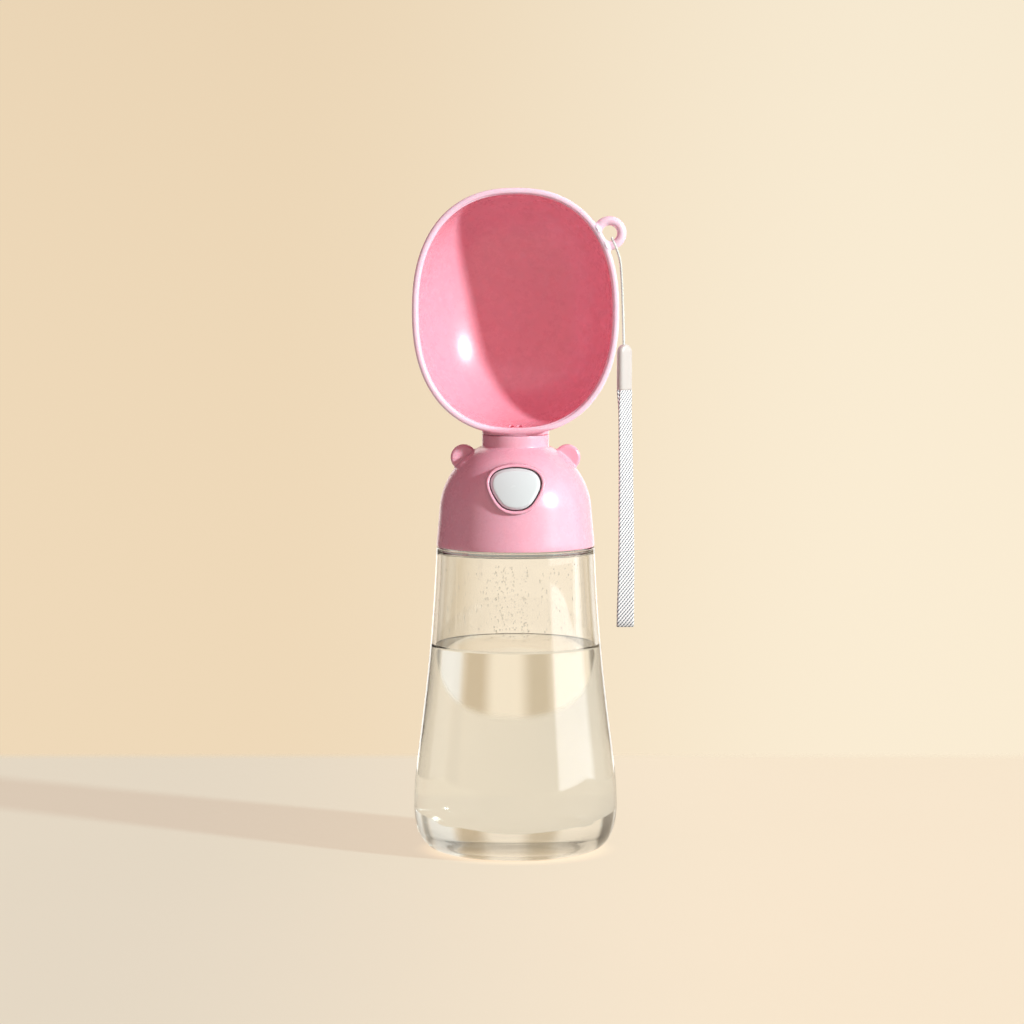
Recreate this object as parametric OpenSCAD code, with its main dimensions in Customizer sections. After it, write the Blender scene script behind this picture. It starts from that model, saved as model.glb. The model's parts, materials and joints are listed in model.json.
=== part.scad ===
// Dog travel water bottle: clear screw-neck bottle, bear-shaped valve head with a nose button,
// swivelling drinking scoop and a wrist lanyard. Origin at the middle of the foot, +Z up,
// the scoop and the nose button face -Y.

/* [Bottle] */
// Radius of the flat foot that the bottle stands on
foot_r = 29; // [25:0.5:33]
// Greatest radius of the bottle, just above the foot
belly_r = 40.6; // [37:0.2:43]
// Height of the greatest radius
belly_z = 19.3; // [15:0.1:24]
// Radius of the bottle at its shoulder, and of the head that stands on it
shoulder_r = 31.6; // [30.6:0.1:34]
// Height of the shoulder above the foot
shoulder_z = 121.5; // [100:0.5:150]
// Wall of the bottle
bottle_wall = 2; // [1.2:0.1:3]
// Thickness of the bottle's floor
bottle_floor = 3.5; // [2:0.1:8]
// Height of the threaded neck above the shoulder
neck_h = 11.9; // [11:0.1:16]
// Wall of the threaded neck
neck_wall = 2.2; // [1.4:0.1:3]

/* [Screw thread] */
// Rise of the thread in one turn
thread_pitch = 4; // [3.6:0.1:4.6]
// Height of the thread ridge off its wall
thread_depth = 1.3; // [0.9:0.1:1.4]
// Width of the thread ridge at its root
thread_w = 1.6; // [1.2:0.1:1.8]
// Number of turns of each thread
thread_turns = 1.6; // [1:0.1:1.7]
// Free room between a thread's crest and the opposite wall
thread_gap = 0.4; // [0.3:0.05:0.6]

/* [Head shell] */
// Height of the dome's flat top above the button's axis
dome_rise = 14.1; // [13.4:0.1:18]
// Height of the dome's straight skirt
skirt_h = 17; // [15.5:0.1:18]
// Inward lean of the skirt over its height
skirt_lean = 1.5; // [0.5:0.1:1.8]
// Radius of the dome's flat top
dome_top_r = 13.9; // [13.8:0.1:16]
// Wall of the dome
dome_wall = 2.2; // [1.6:0.1:2.4]
// Gap between the bottle's shoulder and the dome's lower edge
edge_gap = 0.5; // [0.3:0.05:1]
// Outer radius of the collar and of the scoop's neck above it
collar_r = 13.3; // [13:0.1:14]
// Height of the collar
collar_h = 4.9; // [4.2:0.1:8]
// Radius of an ear
ear_r = 5.2; // [3.5:0.1:6]
// Thickness of an ear
ear_t = 4.6; // [3:0.1:5.5]
// Distance of an ear's middle from the middle plane
ear_x = 20.6; // [19:0.1:22]
// Height of an ear's middle below the dome's top
ear_drop = 4.3; // [3.5:0.1:6]

/* [Nose button] */
// Mean radius of the nose button
nose_size = 8.84; // [8.4:0.02:9]
// Height of the button's axis above the cap insert
nose_rise = 10.8; // [10.8:0.1:12]
// Gap all round the button
nose_gap = 0.45; // [0.3:0.05:0.5]
// Width of the raised bezel around the button
bezel_w = 1.2; // [0.9:0.1:1.3]
// Backward lean of the nose's face in degrees
nose_lean = 19; // [14:0.5:24]
// Distance of the nose's face inside the top of the dome's skirt
nose_in = 1.9; // [0.4:0.1:2.3]
// Travel of the button when it is pressed
travel = 3.5; // [2.5:0.1:3.6]
// Wall of the button
button_wall = 1.6; // [1.2:0.1:2]
// How far the button's crown stands out of the bezel
button_crown = 1; // [0.2:0.1:1.2]

/* [Cap insert] */
// Wall of the threaded sleeve
insert_wall = 1.5; // [1.2:0.1:2]
// Thickness of the insert's ceiling
ceiling_t = 1.8; // [1.4:0.1:2.5]
// Room between the insert and the dome
insert_gap = 0.4; // [0.25:0.05:0.6]
// Thickness of the gasket on the bottle's lip
gasket_t = 1.4; // [1:0.1:2]
// Width of the keys that turn the insert with the dome
key_w = 2.4; // [1.6:0.1:3.5]
// Number of keys
key_count = 4; // [3:1:6]

/* [Valve] */
// Radius of the bore that the valve stem slides in
valve_bore_r = 4.6; // [4.2:0.1:5]
// Wall around the valve bore
valve_wall = 2.4; // [1.8:0.1:2.6]
// Room between the stem bush and the button when it is pressed
press_room = 0.8; // [0.4:0.1:1.2]
// Length of the valve bore behind the port
valve_back = 17.5; // [16.5:0.1:19]
// Radius of the water port
port_r = 2; // [1.5:0.1:2.2]
// Radius of the stem in the bore
stem_r = 4.3; // [3.9:0.05:4.4]
// Radius of the stem's shaft to the button
shaft_r = 3; // [2.4:0.1:3.2]
// Thickness of the O-rings on the stem
stem_ring_d = 1.4; // [1:0.1:1.6]
// Wire of the return spring
spring_wire = 0.8; // [0.5:0.05:0.9]
// Turns of the return spring
spring_turns = 4; // [3:0.5:5]
// Radius of the tube that carries the water into the scoop
outlet_r = 8.9; // [8:0.1:9.2]
// Thickness of the gasket under the valve body
valve_gasket_t = 0.7; // [0.5:0.1:1.2]
// Thickness of the valve body's flange
valve_flange_t = 2; // [1.5:0.1:2.4]
// Distance of the valve screws from the axis
screw_ring_r = 14.5; // [13.8:0.1:15.5]
// Radius of a valve screw's shank
screw_r = 1.1; // [0.8:0.05:1.4]
// Number of valve screws
screw_count = 3; // [2:1:3]
// Radius of the vent valve's stem
vent_r = 1.5; // [1.2:0.1:1.8]

/* [Scoop] */
// Half the scoop's width
scoop_a = 40.75; // [36:0.25:46]
// Half the scoop's height
scoop_b = 48.5; // [42:0.1:56]
// Squareness of the scoop's outline, 2 is an ellipse
scoop_power = 2.33; // [2:0.01:3]
// Depth of the scoop
scoop_depth = 40; // [34:0.5:46]
// Fullness of the scoop's depth, 2 is an ellipse
scoop_fullness = 2.3; // [2:0.05:3]
// Wall of the scoop
scoop_wall = 2.2; // [1.6:0.1:2.8]
// How far the rim's bead stands out
bead_out = 0.35; // [0.1:0.05:0.8]
// Distance from the bottle's axis forward to the rim
rim_reach = 14; // [13.5:0.1:20]
// Length of the scoop's neck below its outline
scoop_neck_h = 0.5; // [0.4:0.1:6]
// Length of the spigot below the groove of its retaining ring
spigot_land = 1; // [0.6:0.1:1.2]
// Free room around the spigot
spigot_gap = 0.3; // [0.2:0.05:0.4]
// Wall of the spigot
spigot_wall = 1.8; // [1.6:0.1:2.2]
// Radius of a drain hole in the scoop's floor
drain_r = 0.9; // [0.6:0.1:1.2]
// Distance of each drain hole from the middle plane
drain_x = 1.6; // [1.4:0.1:3]

/* [Lanyard] */
// Radius of the lanyard eye to the middle of its bar
eye_r = 4.85; // [4.6:0.05:6]
// Thickness of the eye's bar
eye_bar = 3.7; // [3:0.1:4]
// Thickness of the lanyard string
string_d = 1; // [0.8:0.1:1.2]
// Width of the ferrule
ferrule_w = 7; // [6.9:0.1:7.6]
// Length of the ferrule
ferrule_h = 18; // [14:0.5:22]
// Thickness of the ferrule
ferrule_t = 3.4; // [3:0.1:4]
// Width of the flat strap
strap_w = 6.8; // [5:0.2:8]
// Thickness of the flat strap
strap_t = 1; // [0.8:0.1:1.2]

/* [Hidden] */
$fn = 96;

pink = [0.96, 0.70, 0.79];
white = [0.90, 0.90, 0.89];
clear = [0.86, 0.92, 0.94, 0.4];
silicone = [0.80, 0.82, 0.84];
steel = [0.72, 0.73, 0.75];

tiny = 0.01;
fit = 0.05;               // room around an O-ring or a pressed-in piece
seat = 0.3;               // room between pieces that slide past each other
corner_power = 2.3;       // fullness of the round between foot and belly
shoulder_round = 1;
inner_foot_step = 3;      // the inside's flat is this much smaller in radius than the foot
thread_rise = 3.2;        // height of the bottle's thread above its shoulder
thread_tip = 0.55;        // width of a thread's crest as a share of its root
root_sink = 0.4;          // how deep a thread's root is sunk into its wall

// heights, from the foot up
lip_z = shoulder_z + neck_h;
ceiling_z = lip_z + gasket_t;
insert_top_z = ceiling_z + ceiling_t;
valve_z = insert_top_z + valve_gasket_t;
valve_top_z = valve_z + valve_flange_t;
dome_z = shoulder_z + edge_gap;
nose_z = insert_top_z + nose_rise;
dome_top_z = nose_z + dome_rise;
skirt_z = dome_z + skirt_h;
seam_z = dome_top_z + collar_h;
swivel_gap = 0.2;
scoop_neck_z = seam_z + swivel_gap;
scoop_z = scoop_neck_z + scoop_neck_h + scoop_b;

// radii, from the dome inwards
dome_r = shoulder_r - 0.1;
skirt_top_r = dome_r - skirt_lean;
insert_r = skirt_top_r - dome_wall - insert_gap;
insert_in_r = insert_r - insert_wall;
neck_r = insert_in_r - thread_gap - thread_depth;
neck_in_r = neck_r - neck_wall;
gasket_in_r = neck_in_r - 0.5;
gasket_out_r = insert_in_r - seat;
nose_reach = skirt_top_r - nose_in;
collar_in_r = collar_r - 2;
spigot_r = collar_in_r - spigot_gap;
spigot_in_r = spigot_r - spigot_wall;

// a point on a curve drawn by four control points
function curve(p, t) = pow(1 - t, 3) * p[0] + 3 * t * pow(1 - t, 2) * p[1]
    + 3 * t * t * (1 - t) * p[2] + t * t * t * p[3];
function curve_points(p, n) = [for (i = [0:n]) curve(p, i / n)];

// the round between a flat of radius r0 at height z0 and the belly
function corner_points(r0, z0, r1, z1, n) = [for (i = [0:n])
    let (a = 90 * i / n)
    [r0 + (r1 - r0) * pow(sin(a), 2 / corner_power),
     z1 - (z1 - z0) * pow(cos(a), 2 / corner_power)]];

// side of the bottle from belly to shoulder, moved in by the given amount
function side_curve(inward) = let (h = shoulder_z - belly_z)
    [[belly_r - inward, belly_z],
     [belly_r - inward, belly_z + 0.18 * h],
     [shoulder_r + 0.27 * (belly_r - shoulder_r) - inward, belly_z + 0.42 * h],
     [shoulder_r - inward, shoulder_z - shoulder_round - inward]];

// solid through a row of rings, each with the same number of points and
// running clockwise as seen from the next ring
module loft(rings) {
    n = len(rings[0]);
    m = len(rings);
    points = [for (r = rings) each r];
    sides = [for (i = [0:m - 2], j = [0:n - 1])
        let (a = i * n + j, b = i * n + (j + 1) % n, c = b + n, d = a + n)
        each [[a, b, c], [a, c, d]]];
    first = [[for (j = [n - 1:-1:0]) j]];
    last = [[for (j = [0:n - 1]) (m - 1) * n + j]];
    polyhedron(points, concat(first, sides, last), convexity = 8);
}

// helical ridge from radius root to radius crest, starting at height z
module thread_ridge(root, crest, z) {
    steps = ceil(36 * thread_turns);
    tip = thread_tip * thread_w;
    out = crest > root ? 1 : -1;
    loft([for (i = [0:steps])
        let (a = 360 * thread_turns * i / steps, h = z + thread_pitch * a / 360)
        [for (p = [[root, -thread_w / 2], [crest, -tip / 2], [crest, tip / 2], [root, thread_w / 2]])
            let (dz = out * p[1]) [p[0] * cos(a), p[0] * sin(a), h + dz]]]);
}

module ring(r, d, z) {
    translate([0, 0, z])
        rotate_extrude() translate([r, 0]) circle(d = d, $fn = 32);
}

module tube(r_out, r_in, z0, z1) {
    translate([0, 0, z0])
        difference() {
            cylinder(r = r_out, h = z1 - z0);
            translate([0, 0, -1]) cylinder(r = r_in, h = z1 - z0 + 2);
        }
}

// places its children on the button's axis, with their own +Z along +Y
module on_valve_axis() {
    translate([0, 0, nose_z]) rotate([-90, 0, 0]) children();
}

// ---------------------------------------------------------------- bottle
thread_z = shoulder_z + thread_rise;

module bottle() {
    color(clear)
    union() {
        difference() {
            rotate_extrude() polygon(concat(
                [[0, 0]],
                corner_points(foot_r, 0, belly_r, belly_z, 14),
                curve_points(side_curve(0), 24),
                [[shoulder_r - 0.3, shoulder_z - 0.3], [shoulder_r - shoulder_round, shoulder_z],
                 [neck_r, shoulder_z], [neck_r, lip_z], [0, lip_z]]));
            rotate_extrude() polygon(concat(
                [[0, bottle_floor]],
                corner_points(foot_r - inner_foot_step, bottle_floor, belly_r - bottle_wall, belly_z, 14),
                curve_points(side_curve(bottle_wall), 24),
                [[neck_in_r, shoulder_z - bottle_wall], [neck_in_r, lip_z + 1], [0, lip_z + 1]]));
        }
        thread_ridge(neck_r - root_sink, neck_r + thread_depth, thread_z);
    }
}

// ---------------------------------------------------------------- cap insert and gasket
cap_thread_drop = 0.8 * thread_w + 0.32;      // the cap's ridge hangs under the bottle's ridge
flange_r = insert_r + skirt_lean + 0.1;
flange_h = 2;
insert_z = dome_z + 0.6;
boss_h = 4;
boss_wall = 1.6;
boss_floor = 1;           // closed end of each screw boss
inlet_r = 5;
vent_y = 15;              // distance of the vent valve from the axis

module mouth_gasket() {
    color(silicone) tube(gasket_out_r, gasket_in_r, lip_z, ceiling_z);
}

module at_screws() {
    for (i = [0:screw_count - 1]) rotate(120 * i) translate([screw_ring_r, 0, 0]) children();
}

module cap_insert() {
    color(white)
    difference() {
        union() {
            tube(insert_r, insert_in_r, insert_z, ceiling_z + tiny);
            tube(flange_r, insert_in_r, insert_z, insert_z + flange_h);
            thread_ridge(insert_in_r + root_sink, insert_in_r - thread_depth, thread_z - cap_thread_drop);
            translate([0, 0, ceiling_z]) cylinder(r = insert_r, h = ceiling_t);
            at_screws() translate([0, 0, ceiling_z - boss_h])
                cylinder(r = screw_r + boss_wall, h = boss_h + tiny);
        }
        translate([0, 0, ceiling_z - 1]) cylinder(r = inlet_r + fit, h = ceiling_t + 2);
        translate([0, vent_y, ceiling_z - 1]) cylinder(r = vent_r + fit, h = ceiling_t + 2);
        at_screws() translate([0, 0, ceiling_z - boss_h + boss_floor])
            cylinder(r = screw_r + fit, h = boss_h + ceiling_t);
        for (i = [0:key_count - 1])
            rotate(45 + 360 * i / key_count)
                translate([insert_r + fit, -key_w / 2 - seat, insert_z - 1])
                    cube([10, key_w + 2 * seat, flange_h + 2]);
    }
}

// ---------------------------------------------------------------- head shell
function dome_curve(inward) =
    [[skirt_top_r - inward, skirt_z],
     [skirt_top_r - 1.35 - inward, skirt_z + 0.477 * (dome_top_z - skirt_z)],
     [dome_top_r + 6.9 - inward, dome_top_z - 3 - inward],
     [dome_top_r - inward, dome_top_z - inward]];

module dome_solid(inward, z0) {
    rotate_extrude() polygon(concat(
        [[0, z0], [dome_r - inward, z0]],
        curve_points(dome_curve(inward), 24),
        [[0, dome_top_z - inward]]));
}

// outline of the nose, grown by the given amount, around the button's axis
function nose_r(a) = nose_size * (1 - 0.035 * sin(a) + 0.095 * cos(2 * a)
    + 0.065 * sin(3 * a) + 0.022 * sin(5 * a));
module nose_outline(grow) {
    polygon([for (a = [0:6:354]) (nose_r(a) + grow) * [cos(a), sin(a)]]);
}

// the nose outline carried along Y between two distances in front of the axis
module nose_block(grow, front, back) {
    translate([0, -back, nose_z]) rotate([90, 0, 0])
        linear_extrude(front - back) nose_outline(grow);
}

// everything behind the leaning plane of the nose's face, moved out by the given amount
module behind_face(out) {
    translate([0, -nose_reach, nose_z]) rotate([-nose_lean, 0, 0])
        translate([-30, -out, -30]) cube([60, 60, 60]);
}

guide_len = 6.4;          // length of the button's guide behind the nose's face
guide_back = nose_reach - guide_len;
socket_back = guide_back - 1.1;
ear_dish_r = 22;          // radius of the hollow in the front of an ear
ear_dish = 0.3;           // depth of that hollow
module ear(side) {
    translate([side * ear_x, 0, dome_top_z - ear_drop]) rotate([90, 0, 0])
        difference() {
            rotate_extrude() {
                translate([0, -ear_t / 2]) square([ear_r - ear_t / 2, ear_t]);
                translate([ear_r - ear_t / 2, 0])
                    intersection() {
                        circle(d = ear_t, $fn = 32);
                        translate([0, -ear_t]) square(2 * ear_t);
                    }
            }
            translate([0, 0, ear_t / 2 - ear_dish + ear_dish_r]) sphere(r = ear_dish_r);
        }
}

roof_boss_h = 0.9;        // thickening under the roof, around the collar's bore
key_h = 12;
button_reach = nose_reach + 8;    // well in front of the button
module head_shell() {
    color(pink)
    difference() {
        union() {
            difference() {
                union() {
                    dome_solid(0, dome_z);
                    for (side = [-1, 1]) ear(side);
                }
                dome_solid(dome_wall, dome_z - 1);
            }
            translate([0, 0, dome_top_z - 1]) cylinder(r = collar_r, h = collar_h + 1);
            translate([0, 0, dome_top_z - dome_wall - roof_boss_h])
                cylinder(r = collar_r, h = dome_wall + roof_boss_h);
            intersection() {
                nose_block(nose_gap + bezel_w, button_reach, guide_back);
                behind_face(0);
            }
            difference() {
                nose_block(nose_gap + bezel_w, guide_back + tiny, guide_back - 4);
                dome_solid(dome_wall, dome_z - 1);
            }
            for (i = [0:key_count - 1])
                intersection() {
                    rotate(45 + 360 * i / key_count)
                        translate([insert_r + seat, -key_w / 2, dome_z + 0.4]) cube([10, key_w, key_h]);
                    dome_solid(dome_wall / 2, dome_z - 1);
                }
        }
        nose_block(nose_gap, button_reach + 1, guide_back - travel - 2);
        translate([0, 0, dome_top_z - 2 * dome_wall - roof_boss_h])
            cylinder(r = collar_in_r, h = 2 * dome_wall + roof_boss_h + collar_h + 1);
    }
}

// ---------------------------------------------------------------- valve
outlet_top_z = seam_z - 4.4;
outlet_wall = 2.9;
outlet_ring_d = 1.5;
outlet_ring_z = outlet_top_z - 2.2;
valve_base_r = 9.6;
valve_arm_w = 2 * screw_r + 4;
pillar_r = 7;             // column between the valve's flange and its bore
inlet_len = 1.6;          // how far the inlet spigot reaches through the insert's ceiling
bush_len = 3.2;
bush_lip = 1.1;
valve_front = socket_back - travel - bush_lip - press_room;
bush_gap = 0.15;          // room for the shaft in the bush
plug_len = 3;
plug_head_h = 1.4;
plug_z = valve_back - plug_len;
plug_ring_d = 1.2;
screw_head_h = 1.5;
screw_slot = 0.6;

module valve_body() {
    color(white)
    difference() {
        union() {
            translate([0, 0, valve_z]) cylinder(r = valve_base_r, h = valve_flange_t);
            at_screws() translate([0, 0, valve_z]) cylinder(d = valve_arm_w, h = valve_flange_t);
            for (i = [0:screw_count - 1]) rotate(120 * i)
                translate([0, -valve_arm_w / 2, valve_z]) cube([screw_ring_r, valve_arm_w, valve_flange_t]);
            translate([0, 0, ceiling_z - inlet_len]) cylinder(r = inlet_r, h = nose_z - ceiling_z);
            translate([0, 0, valve_z]) cylinder(r = pillar_r, h = nose_z - valve_z);
            translate([0, 0, nose_z]) cylinder(r = outlet_r, h = outlet_top_z - nose_z);
            on_valve_axis() translate([0, 0, -valve_front])
                cylinder(r = valve_bore_r + valve_wall, h = valve_front + valve_back);
        }
        on_valve_axis() translate([0, 0, -valve_front - 1])
            cylinder(r = valve_bore_r, h = valve_front + valve_back + 2);
        translate([0, 0, ceiling_z - 3]) cylinder(r = port_r, h = outlet_top_z - ceiling_z);
        translate([0, 0, nose_z + valve_bore_r + valve_wall + 0.6])
            cylinder(r = outlet_r - outlet_wall, h = outlet_top_z);
        at_screws() translate([0, 0, valve_z - 1]) cylinder(r = screw_r + fit, h = valve_flange_t + 2);
        translate([0, 0, outlet_ring_z - outlet_ring_d / 2 - fit])
            tube(outlet_r + 1, spigot_in_r - 2 * fit - outlet_ring_d, 0, outlet_ring_d + 2 * fit);
    }
}

module outlet_o_ring() {
    color(silicone) ring(spigot_in_r - fit - outlet_ring_d / 2, outlet_ring_d, outlet_ring_z);
}

module valve_gasket() {
    color(silicone) tube(valve_base_r, inlet_r + fit, insert_top_z, valve_z);
}

module valve_screws() {
    color(steel)
    at_screws() {
        translate([0, 0, ceiling_z - boss_h + boss_floor + 0.4])
            cylinder(r = screw_r, h = valve_top_z - ceiling_z + boss_h - boss_floor - 0.4);
        translate([0, 0, valve_top_z])
            difference() {
                cylinder(r = 2 * screw_r, h = screw_head_h);
                for (a = [0, 90]) rotate(a)
                    translate([-1.3, -screw_slot / 2, screw_head_h / 2])
                        cube([2.6, screw_slot, screw_head_h]);
            }
    }
}

module vent_valve() {
    color(silicone)
    translate([0, vent_y, 0])
    difference() {
        union() {
            translate([0, 0, insert_top_z]) cylinder(r = 2 * vent_r, h = 1);
            translate([0, 0, ceiling_z - 0.5]) cylinder(r = vent_r, h = ceiling_t + 1);
            translate([0, 0, ceiling_z - 1.2]) cylinder(r = vent_r + 0.5, h = 1.2);
            translate([-vent_r, -0.6, ceiling_z - 3.6]) cube([2 * vent_r, 1.2, 2.6]);
        }
        translate([0, 0, ceiling_z - 1.5]) cylinder(r = 0.6, h = ceiling_t + 5);
        translate([-vent_r + 0.4, -0.1, ceiling_z - 5]) cube([2 * vent_r - 0.8, 0.2, 4.5]);
    }
}

module end_plug() {
    color(white)
    on_valve_axis()
    difference() {
        union() {
            translate([0, 0, plug_z]) cylinder(r = valve_bore_r - fit, h = plug_len + tiny);
            translate([0, 0, valve_back]) cylinder(r = valve_bore_r + 2, h = plug_head_h);
        }
        translate([0, 0, plug_z + plug_len / 2 - plug_ring_d / 2 - fit])
            tube(valve_bore_r + 1, valve_bore_r - 2 * fit - plug_ring_d, 0, plug_ring_d + 2 * fit);
        translate([-3.2, -0.6, valve_back + plug_head_h / 2]) cube([6.4, 1.2, plug_head_h]);
    }
}

module end_plug_o_ring() {
    color(silicone)
    on_valve_axis() ring(valve_bore_r - fit - plug_ring_d / 2, plug_ring_d, plug_z + plug_len / 2);
}

module stem_bush() {
    color(white)
    on_valve_axis() {
        tube(valve_bore_r - fit, shaft_r + bush_gap, -valve_front - tiny, -valve_front + bush_len);
        tube(valve_bore_r + 1.8, shaft_r + bush_gap, -valve_front - bush_lip, -valve_front);
    }
}

// ---------------------------------------------------------------- button, stem and spring
stem_front = valve_front - bush_len - 0.4;
stem_end = 6;
stem_ring_z = [2.2 - stem_front, 3.7];
waist_z = [stem_ring_z[0] + 2.2, -port_r - 0.6];    // thin part of the stem, in front of the port at rest
peg_r = 0.6 * shaft_r;            // peg at the shaft's end, pressed into the button
shaft_end = nose_reach - 4.4;
crown_r = 45;                     // radius of the button's slightly domed face
button_face_t = 1.8;

// ball whose front is the button's face, moved back by the given amount
module crown_ball(back) {
    translate([0, -nose_reach, nose_z]) rotate([-nose_lean, 0, 0])
        translate([0, crown_r - button_crown + back, 0]) sphere(r = crown_r, $fn = 128);
}

module nose_button() {
    color(white)
    difference() {
        union() {
            intersection() {
                nose_block(0, button_reach, socket_back);
                crown_ball(0);
            }
            intersection() {
                nose_block(nose_gap + bezel_w - 0.2, guide_back - seat, socket_back);
                dome_solid(dome_wall + seat, insert_top_z + 1.2);
            }
        }
        intersection() {
            nose_block(-button_wall, button_reach, socket_back - 1);
            crown_ball(button_face_t);
            difference() {
                translate([-20, -40, nose_z - 20]) cube([40, 40, 40]);
                on_valve_axis() translate([0, 0, -button_reach]) cylinder(r = shaft_r, h = 40);
            }
        }
        on_valve_axis() translate([0, 0, -shaft_end - 0.2]) cylinder(r = peg_r + fit, h = 20);
    }
}

module valve_stem() {
    color(silicone)
    on_valve_axis()
    difference() {
        union() {
            translate([0, 0, -shaft_end]) cylinder(r = peg_r, h = shaft_end - socket_back + 1);
            translate([0, 0, -socket_back + 0.2]) cylinder(r = shaft_r, h = socket_back - stem_front);
            translate([0, 0, -stem_front]) cylinder(r = stem_r, h = stem_front + stem_end);
            translate([0, 0, stem_end - tiny]) cylinder(r = 1.8, h = 1.6);
        }
        tube(stem_r + 1, 2, waist_z[0], waist_z[1]);
        for (z = stem_ring_z)
            tube(stem_r + 1, valve_bore_r - 2 * fit - stem_ring_d,
                z - stem_ring_d / 2 - fit, z + stem_ring_d / 2 + fit);
    }
}

module stem_o_rings() {
    color([0.25, 0.25, 0.27])
    on_valve_axis() for (z = stem_ring_z) ring(valve_bore_r - fit - stem_ring_d / 2, stem_ring_d, z);
}

module return_spring() {
    coil_r = valve_bore_r - 0.5 - spring_wire / 2;
    len = plug_z - stem_end - 2 * fit;
    steps = 16 * spring_turns;
    color(steel)
    on_valve_axis()
    loft([for (i = [0:steps])
        let (a = 360 * spring_turns * i / steps,
             z = stem_end + fit + spring_wire / 2 + (len - spring_wire) * i / steps)
        [for (j = [0:5]) let (b = 60 * j, r = coil_r + spring_wire / 2 * cos(b))
            [r * cos(a), r * sin(a), z + spring_wire / 2 * sin(b)]]]);
}

// ---------------------------------------------------------------- scoop
rim_y = -rim_reach;
around = 48;              // points in each ring of the scoop
bead_w = 1.8;             // width of the rim's bead
bead_step = 0.8;          // width of the step behind it

function outline_cos(a) = sign(cos(a)) * pow(abs(cos(a)), 2 / scoop_power);
function outline_sin(a) = sign(sin(a)) * pow(abs(sin(a)), 2 / scoop_power);
// a ring of the scoop: its outline scaled by k and grown by off, at distance y
function scoop_ring(k, off, y) = [for (i = [0:around - 1]) let (a = -360 * i / around)
    [(scoop_a * k + off) * outline_cos(a), y, scoop_z + (scoop_b * k + off) * outline_sin(a)]];
// rings from the middle of the back towards the rim, for a scoop that is smaller all round by inset
function scoop_rings(inset) = [for (t = [5, 14, 23, 33, 43, 53, 63, 73, 82])
    let (s = pow(cos(t), 2 / scoop_fullness), k = pow(sin(t), 2 / scoop_fullness))
    scoop_ring(k, -inset * max(k, 0.2), rim_y + (scoop_depth - inset) * s)];

module scoop_outside() {
    loft(concat(
        scoop_rings(bead_out),
        [scoop_ring(1, -bead_out, rim_y + bead_w + bead_step), scoop_ring(1, 0, rim_y + bead_w),
         scoop_ring(1, 0, rim_y + 0.5), scoop_ring(1, -0.5, rim_y)]));
}

module scoop_inside() {
    lip = -bead_out - scoop_wall;
    loft(concat(
        scoop_rings(bead_out + scoop_wall),
        [scoop_ring(1, lip, rim_y + 0.5), scoop_ring(1, lip + 0.4, rim_y),
         scoop_ring(1, lip + 0.4, rim_y - 2)]));
}

eye_at = [scoop_a - 3.85, rim_y + 2.5, scoop_z + 30.7];   // middle of the lanyard eye
drain_y = -8;
clip_h = 1;
clip_z = dome_top_z - dome_wall - roof_boss_h - seat - clip_h;
clip_groove = 0.9;
spigot_z = clip_z - fit - spigot_land;
swivel_ring_d = 1.1;
swivel_ring_z = seam_z - 3.4;

module scoop() {
    color(pink)
    difference() {
        union() {
            scoop_outside();
            translate([0, 0, scoop_neck_z]) cylinder(r = collar_r, h = scoop_neck_h + 14);
            translate([0, 0, spigot_z]) cylinder(r = spigot_r, h = scoop_neck_z - spigot_z + tiny);
            translate(eye_at) rotate([90, 0, 0]) ring(eye_r, eye_bar, 0);
        }
        scoop_inside();
        translate([0, 0, spigot_z - 1])
            cylinder(r = spigot_in_r, h = scoop_neck_z + scoop_neck_h - spigot_z);
        for (side = [-1, 1])
            translate([side * drain_x, drain_y, scoop_neck_z - 1]) cylinder(r = drain_r, h = 12);
        tube(spigot_r + 1, spigot_r - clip_groove, clip_z - fit, clip_z + clip_h + fit);
        tube(spigot_r + 1, collar_in_r - 2 * fit - swivel_ring_d,
            swivel_ring_z - swivel_ring_d / 2 - fit, swivel_ring_z + swivel_ring_d / 2 + fit);
    }
}

module swivel_o_ring() {
    color(silicone) ring(collar_in_r - fit - swivel_ring_d / 2, swivel_ring_d, swivel_ring_z);
}

module retaining_ring() {
    color(steel)
    difference() {
        tube(collar_in_r + 1.5, spigot_r - clip_groove + fit, clip_z, clip_z + clip_h);
        translate([-3, 0, clip_z - 1]) cube([6, 2 * collar_r, clip_h + 2]);
    }
}

// ---------------------------------------------------------------- lanyard
eye_y = -11.5;
ferrule_x = 42.9;
ferrule_top = 202.6;
// route of the string: up from the ferrule, round the eye's bar and down again
string_path = [[42.6, -12.2, 201.0], [42.3, -12.9, 212.0], [41.9, -13.6, 224.0], [41.3, -14.1, 234.0],
    [40.3, -14.2, 238.4], [38.9, -14.1, 241.9], [38.4, -13.8, 243.1], [38.0, -12.8, 243.9],
    [37.9, -11.5, 244.3], [38.0, -10.2, 243.9], [38.4, -9.2, 243.1], [38.9, -8.9, 241.9],
    [40.3, -8.8, 238.4], [41.3, -8.9, 234.0], [42.0, -9.4, 224.0], [42.5, -10.1, 212.0],
    [42.8, -10.8, 201.0]];
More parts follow.
